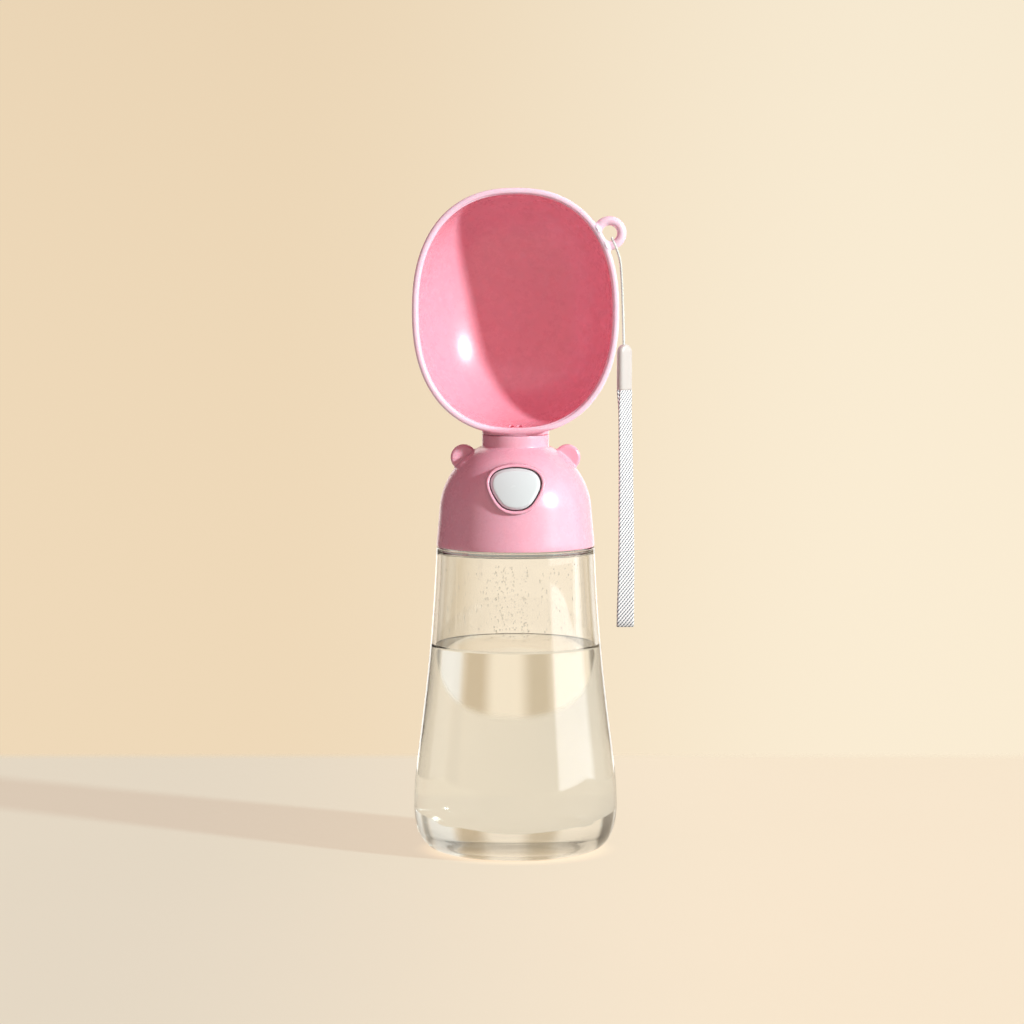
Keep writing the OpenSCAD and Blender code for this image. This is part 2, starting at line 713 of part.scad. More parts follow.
// route of the strap's middle: down in front, round the fold and up behind
strap_path = [[43.4, -12.0, 184.6], [43.2, -12.6, 176.0], [43.4, -12.8, 164.0], [43.6, -12.8, 150.0],
    [43.7, -12.8, 136.0], [43.8, -12.8, 122.0], [43.7, -12.8, 108.0], [43.5, -12.8, 96.0],
    [43.5, -12.6, 92.6], [43.4, -11.5, 91.0], [43.5, -10.4, 92.6], [43.5, -10.2, 96.0],
    [43.7, -10.2, 108.0], [43.8, -10.2, 122.0], [43.7, -10.2, 136.0], [43.6, -10.2, 150.0],
    [43.4, -10.2, 164.0], [43.2, -10.4, 176.0], [42.4, -11.0, 184.6]];
strap_turn = 44;          // turn of the strap's width at the ferrule, in degrees
strap_bottom = 90.6;
strap_ease = 0.45;        // below 1 the strap turns mostly near the fold

function unit(v) = v / norm(v);
function heading(path, i) = unit(path[min(i + 1, len(path) - 1)] - path[max(i - 1, 0)]);
// the strap's width stays level and turns towards the front on the way down
function strap_across(p) =
    let (rise = max(p[2] - strap_bottom, 0) / (ferrule_top - ferrule_h - strap_bottom),
         w = strap_turn * pow(rise, strap_ease))
    [cos(w), sin(w), 0];

module lanyard_string() {
    color(white)
    loft([for (i = [0:len(string_path) - 1])
        let (d = heading(string_path, i), u = unit(cross(d, [1, 0.2, 0.1])), v = cross(d, u))
        [for (j = [0:7]) string_path[i] + string_d / 2 * (cos(45 * j) * u - sin(45 * j) * v)]]);
}

module lanyard_ferrule() {
    half = (ferrule_w - ferrule_t) / 2;
    color(white)
    translate([ferrule_x, eye_y, ferrule_top - ferrule_h]) rotate([0, 0, strap_turn])
        intersection() {
            linear_extrude(ferrule_h)
                union() {
                    for (side = [-1, 1]) translate([side * half, 0]) circle(d = ferrule_t);
                    square([2 * half, ferrule_t], center = true);
                }
            rotate([90, 0, 0]) translate([0, 0, -ferrule_t]) linear_extrude(2 * ferrule_t)
                union() {
                    translate([0, ferrule_h - ferrule_w / 2]) circle(d = ferrule_w);
                    translate([-ferrule_w / 2, 0]) square([ferrule_w, ferrule_h - ferrule_w / 2]);
                }
        }
}

module wrist_strap() {
    color(white)
    loft([for (i = [0:len(strap_path) - 1])
        let (d = heading(strap_path, i), across = strap_across(strap_path[i]),
             face = unit(cross(d, across)))
        [for (p = [[-0.5, 0.25], [-0.46, 0.5], [0.46, 0.5], [0.5, 0.25],
                   [0.5, -0.25], [0.46, -0.5], [-0.46, -0.5], [-0.5, -0.25]])
            strap_path[i] + p[0] * strap_w * across + p[1] * strap_t * face]]);
}

bottle();
mouth_gasket();
head_shell();
cap_insert();
valve_body();
valve_gasket();
valve_screws();
vent_valve();
end_plug();
end_plug_o_ring();
stem_bush();
outlet_o_ring();
return_spring();
nose_button();
valve_stem();
stem_o_rings();
scoop();
swivel_o_ring();
retaining_ring();
lanyard_string();
lanyard_ferrule();
wrist_strap();
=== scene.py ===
import json
import math
import random

import bmesh
import bpy
from bpy.props import FloatProperty, FloatVectorProperty, IntProperty, PointerProperty
from mathutils import Matrix, Vector
from mathutils.bvhtree import BVHTree

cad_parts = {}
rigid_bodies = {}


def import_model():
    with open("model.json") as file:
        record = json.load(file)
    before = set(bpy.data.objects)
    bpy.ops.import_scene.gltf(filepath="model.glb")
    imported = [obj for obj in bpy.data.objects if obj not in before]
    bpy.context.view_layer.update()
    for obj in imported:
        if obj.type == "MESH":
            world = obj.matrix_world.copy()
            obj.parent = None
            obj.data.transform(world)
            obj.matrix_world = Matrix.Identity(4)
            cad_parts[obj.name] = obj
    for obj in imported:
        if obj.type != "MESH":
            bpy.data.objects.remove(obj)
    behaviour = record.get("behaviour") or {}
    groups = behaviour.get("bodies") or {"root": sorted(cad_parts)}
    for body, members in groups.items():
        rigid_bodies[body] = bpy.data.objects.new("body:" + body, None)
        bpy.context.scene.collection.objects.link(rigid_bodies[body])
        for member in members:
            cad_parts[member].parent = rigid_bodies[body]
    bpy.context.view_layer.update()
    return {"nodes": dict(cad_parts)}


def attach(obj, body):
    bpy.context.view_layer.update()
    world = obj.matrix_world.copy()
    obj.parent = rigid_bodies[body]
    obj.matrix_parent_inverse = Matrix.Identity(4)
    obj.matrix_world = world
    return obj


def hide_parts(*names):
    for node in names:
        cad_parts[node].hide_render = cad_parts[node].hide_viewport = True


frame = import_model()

bl_info = {
    "name": "Dog Travel Water Bottle",
    "version": (1, 0, 0),
    "blender": (4, 5, 0),
    "location": "View3D > Sidebar > Water Bottle",
    "description": "Makes the visible pieces, finishes and studio of a screw-top dog water bottle",
    "category": "Object",
}

MM = 0.001

# Heights, radii and places of the solids, in millimetres: the bottle's neck and its thread
LIP, NECK_MID = 133.4, 128.0
NECK_R, NECK_IN = 24.2, 22.0
THREAD_PITCH, THREAD_TURNS = 4.0, 1.6

# The head's dome, its collar, the nose and the ears
DOME_LOW, SKIRT_TOP, DOME_TOP = 122.0, 139.0, 161.5
DOME_R, SKIRT_R, TOP_R, DOME_WALL = 31.5, 30.0, 13.9, 2.2
COLLAR_R, COLLAR_BORE, COLLAR_LOW, COLLAR_TOP = 13.3, 11.3, 158.4, 166.4
NOSE = Vector((0, -28.1, 147.4))
NOSE_BACK = -21.7
NOSE_TILT = math.radians(19)
EAR_X, EAR_Z = 20.6, 157.2

# The scoop: middle, rim, neck, the spigot under it with its groove, the drain holes and the lanyard's eye
SCOOP_Z, RIM_Y = 215.6, -14.0
NECK_LOW = 166.6
SPIGOT_R, SPIGOT_BORE, SPIGOT_LOW, SPIGOT_TOP = 11.0, 9.2, 156.1, 167.0
GROOVE_R, GROOVE_LOW, GROOVE_TOP = 10.1, 157.05, 158.15
DRAIN_R, DRAIN_X, DRAIN_Y, DRAIN_Z = 1.1, 1.6, -8, 171.0
EYE = Vector((36.9, -11.5, 246.3))
EYE_R, EYE_BAR = 4.85, 1.85
FERRULE = Vector((42.9, -11.5, 184.6))

# The lanyard's routes, as in the solids, in metres
STRING_ROUTE = [
    (0.0426, -0.0122, 0.2010), (0.0423, -0.0129, 0.2120), (0.0419, -0.0136, 0.2240),
    (0.0413, -0.0141, 0.2340), (0.0403, -0.0142, 0.2384), (0.0389, -0.0141, 0.2419),
    (0.0384, -0.0138, 0.2431), (0.0380, -0.0128, 0.2439), (0.0379, -0.0115, 0.2443),
    (0.0380, -0.0102, 0.2439), (0.0384, -0.0092, 0.2431), (0.0389, -0.0089, 0.2419),
    (0.0403, -0.0088, 0.2384), (0.0413, -0.0089, 0.2340), (0.0420, -0.0094, 0.2240),
    (0.0425, -0.0101, 0.2120), (0.0428, -0.0108, 0.2010),
]
STRAP_ROUTE = [
    (0.0434, -0.0120, 0.1846), (0.0432, -0.0126, 0.1760), (0.0434, -0.0128, 0.1640),
    (0.0436, -0.0128, 0.1500), (0.0437, -0.0128, 0.1360), (0.0438, -0.0128, 0.1220),
    (0.0437, -0.0128, 0.1080), (0.0435, -0.0128, 0.0960), (0.0435, -0.0126, 0.0926),
    (0.0434, -0.0115, 0.0910), (0.0435, -0.0104, 0.0926), (0.0435, -0.0102, 0.0960),
    (0.0437, -0.0102, 0.1080), (0.0438, -0.0102, 0.1220), (0.0437, -0.0102, 0.1360),
    (0.0436, -0.0102, 0.1500), (0.0434, -0.0102, 0.1640), (0.0432, -0.0104, 0.1760),
    (0.0424, -0.0110, 0.1846),
]
# How the strap turns: as the ferrule at its top, in degrees, and not at all at its lowest point, in metres
STRAP_TURN = 44
STRAP_LOW = 0.0906
STRAP_EASE = 0.45
BRAID = 0.00165  # one row of the strap's braid, in metres
BRAID_SLANT = 1.15

# How the water climbs at the wall: how far in from the wall and how high, in millimetres
MENISCUS = ((0, 0.3), (0.15, 0.24), (0.35, 0.15), (0.65, 0.07), (1.0, 0.02), (1.6, 0.0))

# The studio: the camera in metres and degrees, the sun, and how much of it each lamp gives.
# Clear pieces don't shade what "key" lights, and the lanyard doesn't shade what either lamp lights
CAMERA_PLACE, CAMERA_DOWN = (-0.0014, -1.574, 0.2722), 4.97
LENS, SENSOR = 139.5, 36.0
FLOOR_HALF, FLOOR_DROP = 14.0, 0.0001
SUNLIGHT, SUN_WIDTH = Vector((0.795, -0.506, 0.336)), 4.5
SUN_COLOUR = (0.80, 0.98, 0.97)
LAMPS = {"key": 0.65, "key_rest": 0.35}
PASSING = "_passes"
RADIAN = 57.2958  # in degrees
WHOLE_TURN = 6.2832
FILL_FROM_LEFT, FILL_FROM_RIGHT = (0.80, 0.50, 0.52), (3.9, 2.38, 2.49)

# Soft panels round the bottle, which the camera doesn't see itself: from and to which bearing in degrees,
# where the front is 0 and the right is 90, from and to which slope, their colour, and whether gloss or
# clear plastic shows them
PANELS = (
    (52, 104, -0.25, 0.62, (2.9, 2.9, 2.9), "both"),
    (156, 170, -0.6, 0.7, (2.2, 2.1, 1.95), "gloss"),
    (-170, -156, -0.6, 0.7, (2.2, 2.1, 1.95), "gloss"),
    (-156, -70, -0.6, 0.9, (0.1, 0.075, 0.07), "gloss"),
    (104, 132, -0.5, 0.8, (1.25, 1.2, 1.1), "clear"),
    (134, 142, -0.5, 0.8, (0.5, 0.45, 0.38), "clear"),
    (143, 160, -0.5, 0.8, (1.02, 0.95, 0.85), "clear"),
    (161, 171, -0.6, 0.8, (0.66, 0.50, 0.32), "clear"),
    (-177, -168, -0.6, 0.8, (0.68, 0.53, 0.35), "clear"),
    (-143, -123, -0.3, 0.8, (0.2, 0.16, 0.12), "clear"),
    (-121, -92, -0.5, 0.8, (1.4, 1.35, 1.25), "clear"),
)


# ---------------------------------------------------------------- sizes and colours
def millimetres(label, description, default):
    return FloatProperty(name=label, description=description + ", in mm", default=default)


def number(label, description, default):
    return FloatProperty(name=label, description=description, default=default)


def colour_of(label, description, default):
    return FloatVectorProperty(name=label, description=description, subtype="COLOR", default=default)


class WB_BottleSizes(bpy.types.PropertyGroup):
    foot: millimetres("Foot Radius", "Radius of the foot that the bottle stands on", 29.0)
    belly: millimetres("Belly Radius", "Greatest radius of the bottle", 40.6)
    belly_height: millimetres("Belly Height", "Height of the greatest radius", 19.3)
    shoulder: millimetres("Shoulder Radius", "Radius of the bottle under the head", 31.6)
    shoulder_height: millimetres("Shoulder Height", "Height of the shoulder", 121.5)
    wall: millimetres("Wall", "Wall of the bottle", 2.0)
    floor: millimetres("Floor", "Thickness of the bottle's floor", 3.5)
    lid: millimetres("Shoulder Thickness", "Thickness of the shoulder between wall and neck", 0.9)
    water: millimetres("Water Level", "Height of the water", 82.8)
    drops: IntProperty(name="Drops", description="Number of drops on the inside above the water", default=420)
    tint: colour_of("Tint", "Colour of the clear plastic", (0.965, 0.975, 0.965))


class WB_HeadSizes(bpy.types.PropertyGroup):
    pink: colour_of("Shell Colour", "Colour of the head and the scoop", (0.90, 0.42, 0.52))
    button: colour_of("Button Colour", "Colour of the nose button", (0.69, 0.695, 0.70))
    ear: millimetres("Ear Radius", "Radius of an ear", 5.2)
    ear_thickness: millimetres("Ear Thickness", "Thickness of an ear", 4.6)
    bezel: millimetres("Bezel Width", "Width of the raised ring around the button", 1.15)
    gap: millimetres("Button Gap", "Gap around the button", 0.45)
    flare: millimetres("Bezel Flare", "How far the bezel's outside runs out into the dome", 0.3)


class WB_ScoopSizes(bpy.types.PropertyGroup):
    half_width: millimetres("Half Width", "Half the scoop's width", 40.75)
    half_height: millimetres("Half Height", "Half the scoop's height", 48.5)
    power: number("Outline Fullness", "Squareness of the outline, 2 is an ellipse", 2.33)
    depth: millimetres("Depth", "Depth of the scoop", 40.0)
    fullness: number("Depth Fullness", "Fullness of the scoop towards its back", 2.3)
    wall: millimetres("Wall", "Wall of the scoop", 2.2)
    # the rim colour is a painted highlight: a paler pink where light catches the scoop's thin rim
    rim: colour_of("Rim Colour", "Colour of the scoop's thin rim", (1.0, 0.66, 0.77))
    bead: millimetres("Bead", "How far the rim's bead stands out", 0.35)


class WB_LanyardSizes(bpy.types.PropertyGroup):
    string: millimetres("String Thickness", "Thickness of the twisted string", 1.0)
    lay: millimetres("String Lay", "Length of one twist of the string", 2.3)
    width: millimetres("Strap Width", "Width of the flat strap", 6.8)
    thickness: millimetres("Strap Thickness", "Thickness of the flat strap", 1.0)
    ferrule: colour_of("Ferrule Colour", "Colour of the ferrule", (0.60, 0.52, 0.49))
    light: colour_of("Light Yarn", "Colour of the strap's light yarn", (0.93, 0.84, 0.82))
    # painted shade: the colour between the yarns stands in for the shade in the braid's hollows
    painted_gap_shade_colour: colour_of("Dark Yarn", "Colour between the strap's yarns", (0.08, 0.10, 0.13))


class WB_StageLooks(bpy.types.PropertyGroup):
    floor: colour_of("Floor Colour", "Colour of the floor", (0.53, 0.61, 0.56))
    glow: colour_of("Floor Lift", "How much paler the floor looks than its light makes it",
                    (0.47, 0.33, 0.18))
    wall: colour_of("Backdrop Colour", "Colour behind the floor", (0.82, 0.66, 0.46))
    room: colour_of("Room Colour", "Colour of the room in front, as gloss shows it", (0.45, 0.42, 0.38))
    near: number("Floor Edge", "Distance behind the bottle where the floor starts to fade, in m", 0.238)
    far: number("Floor End", "Distance behind the bottle where the floor has faded, in m", 0.262)
    key: number("Key Light", "Strength of the main light", 4.3)
    fill: number("Fill Light", "Strength of the light from all round", 0.15)


# ---------------------------------------------------------------- finishes
def both_ways(operation):
    """What a value does with another one after it, and with one before it."""
    return (lambda self, other: self.joined(operation, self, other),
            lambda self, other: self.joined(operation, other, self))


class Value:
    """A node's output that adds, multiplies and compares as a number does."""

    def __init__(self, finish, socket):
        self.finish, self.socket = finish, socket

    def joined(self, operation, *values):
        return self.finish.node("ShaderNodeMath", {"operation": operation}, dict(enumerate(values)))

    __add__, __radd__ = both_ways("ADD")
    __sub__, __rsub__ = both_ways("SUBTRACT")
    __mul__, __rmul__ = both_ways("MULTIPLY")
    __truediv__, _ = both_ways("DIVIDE")
    __gt__, _ = both_ways("GREATER_THAN")
    least, _ = both_ways("MINIMUM")
    most, _ = both_ways("MAXIMUM")
    power, _ = both_ways("POWER")

    def sine(self):
        return self.joined("SINE", self)


class Nodes:
    """A node tree and short ways to add to it."""

    def __init__(self, tree):
        self.tree = tree

    def node(self, kind, settings=None, sockets=None, out=0):
        made = self.tree.nodes.new(kind)
        for key, value in (settings or {}).items():
            setattr(made, key, value)
        for key, value in (sockets or {}).items():
            if isinstance(value, Value):
                self.tree.links.new(value.socket, made.inputs[key])
            else:
                made.inputs[key].default_value = value
        return Value(self, made.outputs[out])

    def place(self):
        return self.node("ShaderNodeTexCoord", out="Object")

    def noise(self, scale, detail=2.0, roughness=0.5, distortion=0.0):
        return self.node("ShaderNodeTexNoise", {}, {
            "Vector": self.place(), "Scale": scale, "Detail": detail,
            "Roughness": roughness, "Distortion": distortion})

    def mix(self, factor, first, second):
        pair = [(*c, 1.0) if isinstance(c, (tuple, list)) and len(c) == 3 else c for c in (first, second)]
        return self.node("ShaderNodeMix", {"data_type": "RGBA"}, {0: factor, 6: pair[0], 7: pair[1]}, out=2)

    def add(self, first, second):
        return self.node("ShaderNodeMix", {"data_type": "RGBA", "blend_type": "ADD"},
                         {0: 1.0, 6: first, 7: second}, out=2)

    def bump(self, height, strength, distance):
        return self.node("ShaderNodeBump", {}, {"Height": height, "Strength": strength, "Distance": distance})

    def step(self, value, low, high):
        """0 below low and 1 above high, with a soft change between them."""
        return self.node("ShaderNodeMapRange", {"interpolation_type": "SMOOTHSTEP"},
                         {0: value, 1: low, 2: high})

    def band(self, value, low, high, soft):
        """1 between low and high, with soft edges."""
        return self.step(value, low - soft, low + soft) * (1.0 - self.step(value, high - soft, high + soft))

    def parts(self, vector):
        split = self.node("ShaderNodeSeparateXYZ", {}, {"Vector": vector})
        return [split] + [Value(self, split.socket.node.outputs[k]) for k in (1, 2)]

    def blend(self, factor, first, second, output):
        """Mixes two shaders and gives the result to the tree's output."""
        mixed = self.node("ShaderNodeMixShader", {}, {0: factor, 1: first, 2: second})
        self.tree.links.new(mixed.socket, self.tree.nodes[output].inputs[0])

    def seen(self):
        """1 where the camera looks: straight, by gloss alone, and in any way, clear plastic among them."""
        path = self.node("ShaderNodeLightPath").socket.node.outputs
        direct, gloss, through, matt = (Value(self, path[name]) for name in (
            "Is Camera Ray", "Is Glossy Ray", "Is Transmission Ray", "Diffuse Depth"))
        lit = 1.0 - (matt > 0.5)
        return direct, gloss * (1.0 - through), direct.most(gloss).most(through) * lit


class Finish(Nodes):
    """A material with one Principled shader and the nodes that feed it."""

    def __init__(self, name):
        self.material = bpy.data.materials.new(name)
        self.material.use_nodes = True
        super().__init__(self.material.node_tree)
        self.shader = self.tree.nodes["Principled BSDF"]

    def set(self, **sockets):
        for key, value in sockets.items():
            target = self.shader.inputs[key.replace("_", " ")]
            if isinstance(value, Value):
                self.tree.links.new(value.socket, target)
            elif isinstance(value, (tuple, list)) and len(value) == 3 and target.type == "RGBA":
                target.default_value = (*value, 1.0)
            else:
                target.default_value = value


def shade(colour, amount):
    return tuple(min(1.0, c * amount) for c in colour)


def plain(name, colours, drift, gloss, grain, **more):
    """Colour drift, uneven gloss and relief, each from its own noise.

    drift is that noise. gloss starts with the least roughness and what the noise adds, grain with the
    strength and the depth of the relief."""
    f = Finish(name)
    least, added, *gloss_noise = gloss
    strength, depth, *grain_noise = grain
    f.set(
        Base_Color=f.mix(f.noise(*drift), *colours),
        Roughness=least + added * f.noise(*gloss_noise),
        Normal=f.bump(f.noise(*grain_noise), strength, depth),
        **more,
    )
    return f.material


def around(colour, spread):
    return shade(colour, 1 - spread), shade(colour, 1 + spread)


def moulded(name, colour, roughness, grain=0.25, spread=0.03):
    return plain(name, around(colour, spread), (38.0, 3.0), (roughness - 0.04, 0.08, 160.0, 2.0, 0.6),
                 (grain, 0.00002, 5200.0, 2.0), IOR=1.49)


def clear_plastic(colour):
    return plain("clear_plastic", around(colour, 0.005), (25.0,), (0.012, 0.02, 60.0, 3.0, 0.6),
                 (0.25, 0.0004, 34.0, 1.0), IOR=1.5, Transmission_Weight=1.0)


def water_finish(name, wave):
    return plain(name, ((0.985, 0.99, 0.99), (1.0, 1.0, 1.0)), (90.0, 1.0), (0.002, 0.004, 90.0, 1.0),
                 (wave, 0.0003, 90.0, 1.0), IOR=1.333, Transmission_Weight=1.0)


def silicone_finish():
    return plain("silicone_rubber", ((0.66, 0.68, 0.69), (0.74, 0.75, 0.76)), (50.0,),
                 (0.45, 0.15, 400.0, 3.0), (0.2, 0.00002, 3000.0), Transmission_Weight=0.25, IOR=1.41)


def rubber_finish():
    return plain("black_o_ring_rubber", ((0.018, 0.018, 0.02), (0.045, 0.045, 0.048)), (300.0, 3.0),
                 (0.5, 0.2, 700.0, 3.0), (0.3, 0.00002, 4000.0))


def steel_finish():
    return plain("drawn_steel", ((0.42, 0.43, 0.45), (0.62, 0.63, 0.65)), (600.0, 3.0, 0.6),
                 (0.22, 0.16, 600.0, 3.0, 0.6), (0.15, 0.00003, 600.0, 3.0, 0.6), Metallic=1.0)


def ferrule_finish(colour):
    return plain("ferrule_plastic", around(colour, 0.04), (220.0, 3.0), (0.3, 0.12, 900.0, 3.0),
                 (0.2, 0.00002, 3500.0), Subsurface_Weight=0.2, Subsurface_Radius=(1.0, 0.8, 0.8),
                 Subsurface_Scale=0.002)


def pink_plastic(colour, edge):
    """Glossy, slightly translucent pink plastic, with painted shade and a painted highlight: the scoop is
    painted a deeper pink for the shade of light bouncing inside the bowl, and its thin rim is painted paler
    where light catches it.
    """
    f = Finish("pink_plastic")
    _, depth, height = f.parts(f.place())
    # the scoop's painted deeper shade starts 2 to 3.4 mm above the seam with the collar, and the rim's
    # painted highlight goes back 1.6 to 3 mm
    scoop = f.step(height, 0.1685, 0.1700)
    rim = (1.0 - f.step(depth, -0.0124, -0.0110)) * scoop
    # painted shade: the scoop gets a deeper pink than the head, standing in for the shade of light bouncing
    # inside the bowl
    shell_colour_with_painted_scoop_shade = f.mix(scoop, colour, (colour[0] * 1.06, colour[1] * 0.76, colour[2] * 0.79))
    drift = f.noise(30.0, 3.0)
    flow = f.noise(140.0, 3.0, 0.55)
    scuffs = f.noise(900.0, 4.0, 0.7, 0.6)
    f.set(
        # edge is the colour of the rim's painted highlight, laid on where the rim mask is 1
        Base_Color=f.mix(rim, f.mix(drift * 0.5, shell_colour_with_painted_scoop_shade, shade(colour, 0.975)), edge),
        Roughness=0.22 + 0.06 * flow + 0.05 * scuffs,
        Normal=f.bump(f.noise(2600.0, 2.0), 0.12, 0.00002),
        IOR=1.5,
        Subsurface_Weight=0.25,
        Subsurface_Radius=(1.0, 0.3, 0.36),
        Subsurface_Scale=0.002,
    )
    return f.material


def string_finish(colour):
    """Twisted cord: fine yarns that wind round each ply, with painted shade in the grooves between them."""
    f = Finish("twisted_cord")
    parts, along, _ = f.parts(f.node("ShaderNodeUVMap", {"uv_map": "run"}))
    # a yarn comes round every 1.2 mm of the string
    yarn = ((along * 5200.0 + parts * 12.56).sine() + 1.0) * 0.5
    fuzz = f.noise(6000.0, 3.0)
    f.set(
        # painted shade: the string is darker where the yarn pattern is low, in the grooves between the yarns
        Base_Color=f.mix(yarn * 0.7 + fuzz * 0.3, shade(colour, 0.62), shade(colour, 1.08)),
        Roughness=0.75 + 0.15 * fuzz,
        Normal=f.bump(yarn + fuzz * 0.4, 0.5, 0.00006),
        Sheen_Weight=0.25,
    )
    return f.material


def webbing_finish(light, painted_gap_shade_colour):
    """Flat braid: yarns cross in slanting rows, with painted shade in the hollows between the rows."""
    f = Finish("braided_webbing")
    across, along, _ = f.parts(f.node("ShaderNodeUVMap", {"uv_map": "run"}))
    slant = (along + across * BRAID_SLANT) / BRAID
    other = (along - across * BRAID_SLANT) / BRAID
    rows = (slant * WHOLE_TURN).sine() * 0.5 + 0.5
    ticks = (other * WHOLE_TURN).sine() * 0.5 + 0.5
    # painted shade: the colour goes darker in the hollows between the yarn rows
    painted_gap_shade_mask = (1.0 - rows).power(1.8) * (0.55 + 0.45 * (1.0 - ticks))
    fuzz = f.noise(5200.0, 3.0, 0.6)
    f.set(
        Base_Color=f.mix((painted_gap_shade_mask * 1.25 + (fuzz - 0.5) * 0.25).most(0.0).least(1.0), light, painted_gap_shade_colour),
        Roughness=0.7 + 0.2 * fuzz,
        Normal=f.bump(rows * 0.8 + ticks * 0.35 + fuzz * 0.3, 0.7, 0.0001),
        Sheen_Weight=0.3,
    )
    return f.material


def floor_finish(looks):
    """Pale matt floor with a soft far edge behind the bottle; painted shade makes it darker to the left and
    painted light makes it paler under and round the bottle.
    """
    f = Finish("studio_floor")
    x, y, _ = f.parts(f.place())
    _, _, seen = f.seen()
    from_axis = (x * x + y * y).power(0.5)
    # painted shade: the floor's glow drops to two thirds on the left
    glow_with_painted_light_and_shade = f.mix(f.step(x, -0.16, 0.10), shade(looks.glow, 0.67), tuple(looks.glow))
    # painted light: the glow rises by half under and round the bottle, as if light came through the clear
    # plastic
    glow_with_painted_light_and_shade = f.mix(f.step(from_axis, 0.026, 0.042), shade(looks.glow, 1.5), glow_with_painted_light_and_shade)
    f.set(
        Base_Color=f.mix(f.noise(6.0, 3.0), shade(looks.floor, 0.985), shade(looks.floor, 1.01)),
        Roughness=0.62 + 0.08 * f.noise(90.0, 3.0),
        Normal=f.bump(f.noise(900.0, 2.0), 0.05, 0.0001),
        Emission_Color=f.mix(seen, (0, 0, 0), glow_with_painted_light_and_shade),
        Emission_Strength=1.0,
        Specular_IOR_Level=0.0,
    )
    matt, clear = Value(f, f.shader.outputs[0]), f.node("ShaderNodeBsdfTransparent")
    f.blend(f.step(y, looks.near, looks.far), matt, clear, "Material Output")
    return f.material


def studio_world(looks):
    """Backdrop with painted light that makes it paler to the right, and soft fill light; gloss and clear
    plastic see the panels as well.
    """
    world = bpy.data.worlds.new("studio")
    world.use_nodes = True
    n = Nodes(world.node_tree)
    x, y, z = n.parts(n.node("ShaderNodeTexCoord", out="Generated"))
    direct, gloss, seen = n.seen()
    wall = n.mix(n.step(z, -0.12, 0.30), shade(looks.wall, 1.05), shade(looks.wall, 0.93))
    # painted light: the backdrop, as the camera sees it, is paler to the right
    painted_light_right = n.mix(direct * n.step(x, -0.07, 0.10), (0, 0, 0), (0.10, 0.15, 0.17))
    front = n.mix(n.step(z, 0.5, 0.75), (0.84, 0.72, 0.54), (1.5, 1.48, 1.45))
    back = n.mix(n.step(z, -0.17, -0.12), (1.04, 0.87, 0.66), (1.04, 0.88, 0.69))
    room = n.mix(n.step(y, -0.25, 0.30), n.mix(gloss, tuple(looks.room), front), n.mix(gloss, back, wall))
    bearing = n.node("ShaderNodeMath", {"operation": "ARCTAN2"}, {0: x, 1: -1.0 * y}) * RADIAN
    shown = {"both": 1.0, "gloss": gloss, "clear": 1.0 - gloss}
    for low, high, bottom, top, colour, by in PANELS:
        panel = n.band(bearing, low, high, 3.0) * n.band(z, bottom, top, 0.06) * shown[by]
        room = n.mix(panel, room, colour)
    sky = n.tree.nodes["Background"]
    n.tree.links.new(n.mix(direct, room, n.add(wall, painted_light_right)).socket, sky.inputs["Color"])
    colour = n.mix(n.step(x * 0.6 + z, -0.9, 1.0), FILL_FROM_LEFT, FILL_FROM_RIGHT)
    fill = n.node("ShaderNodeBackground", {}, {"Color": colour, "Strength": looks.fill})
    n.blend(seen, fill, Value(n, sky.outputs[0]), "World Output")
    return world


# ---------------------------------------------------------------- making shapes
def bezier(p0, p1, p2, p3, count):
    """Points on a curve drawn by four control points, ends included."""
    out = []
    for i in range(count + 1):
        t = i / count
        u = 1 - t
        out.append(tuple(
            u ** 3 * a + 3 * t * u * u * b + 3 * t * t * u * c + t ** 3 * d
            for a, b, c, d in zip(p0, p1, p2, p3)))
    return out


def arc(centre, radius, start, end, count):
    """Points on a round in the profile plane, angles in degrees."""
    out = []
    for i in range(count + 1):
        a = math.radians(start + (end - start) * i / count)
        out.append((centre[0] + radius * math.cos(a), centre[1] + radius * math.sin(a)))
    return out


def smooth_route(points, step):
    """The route as close points on one smooth curve through the given ones."""
    pts = [Vector(p) for p in points]
    pts = [2 * pts[0] - pts[1], *pts, 2 * pts[-1] - pts[-2]]
    fine = []
    for a, b, c, d in zip(pts, pts[1:], pts[2:], pts[3:]):
        parts = max(2, round((c - b).length / (step * 0.5)))
        for i in range(parts):
            t = i / parts
            bend = (2 * a - 5 * b + 4 * c - d) * t * t
            twist = (3 * b - a - 3 * c + d) * t ** 3
            fine.append(0.5 * (2 * b + (c - a) * t + bend + twist))
    fine.append(pts[-2].copy())
    lengths = [0.0]
    for a, b in zip(fine, fine[1:]):
        lengths.append(lengths[-1] + (b - a).length)
    count = max(2, round(lengths[-1] / step))
    out, k = [], 0
    for i in range(count + 1):
        want = lengths[-1] * i / count
        while k < len(lengths) - 2 and lengths[k + 1] < want:
            k += 1
        span = lengths[k + 1] - lengths[k]
        out.append(fine[k].lerp(fine[k + 1], (want - lengths[k]) / span if span else 0))
    return out


def travel(route):
    """Each point of a route with its direction and the length up to it."""
    travelled = 0.0
    for i, p in enumerate(route):
        if i:
            travelled += (p - route[i - 1]).length
        yield p, (route[min(i + 1, len(route) - 1)] - route[max(i - 1, 0)]).normalized(), travelled


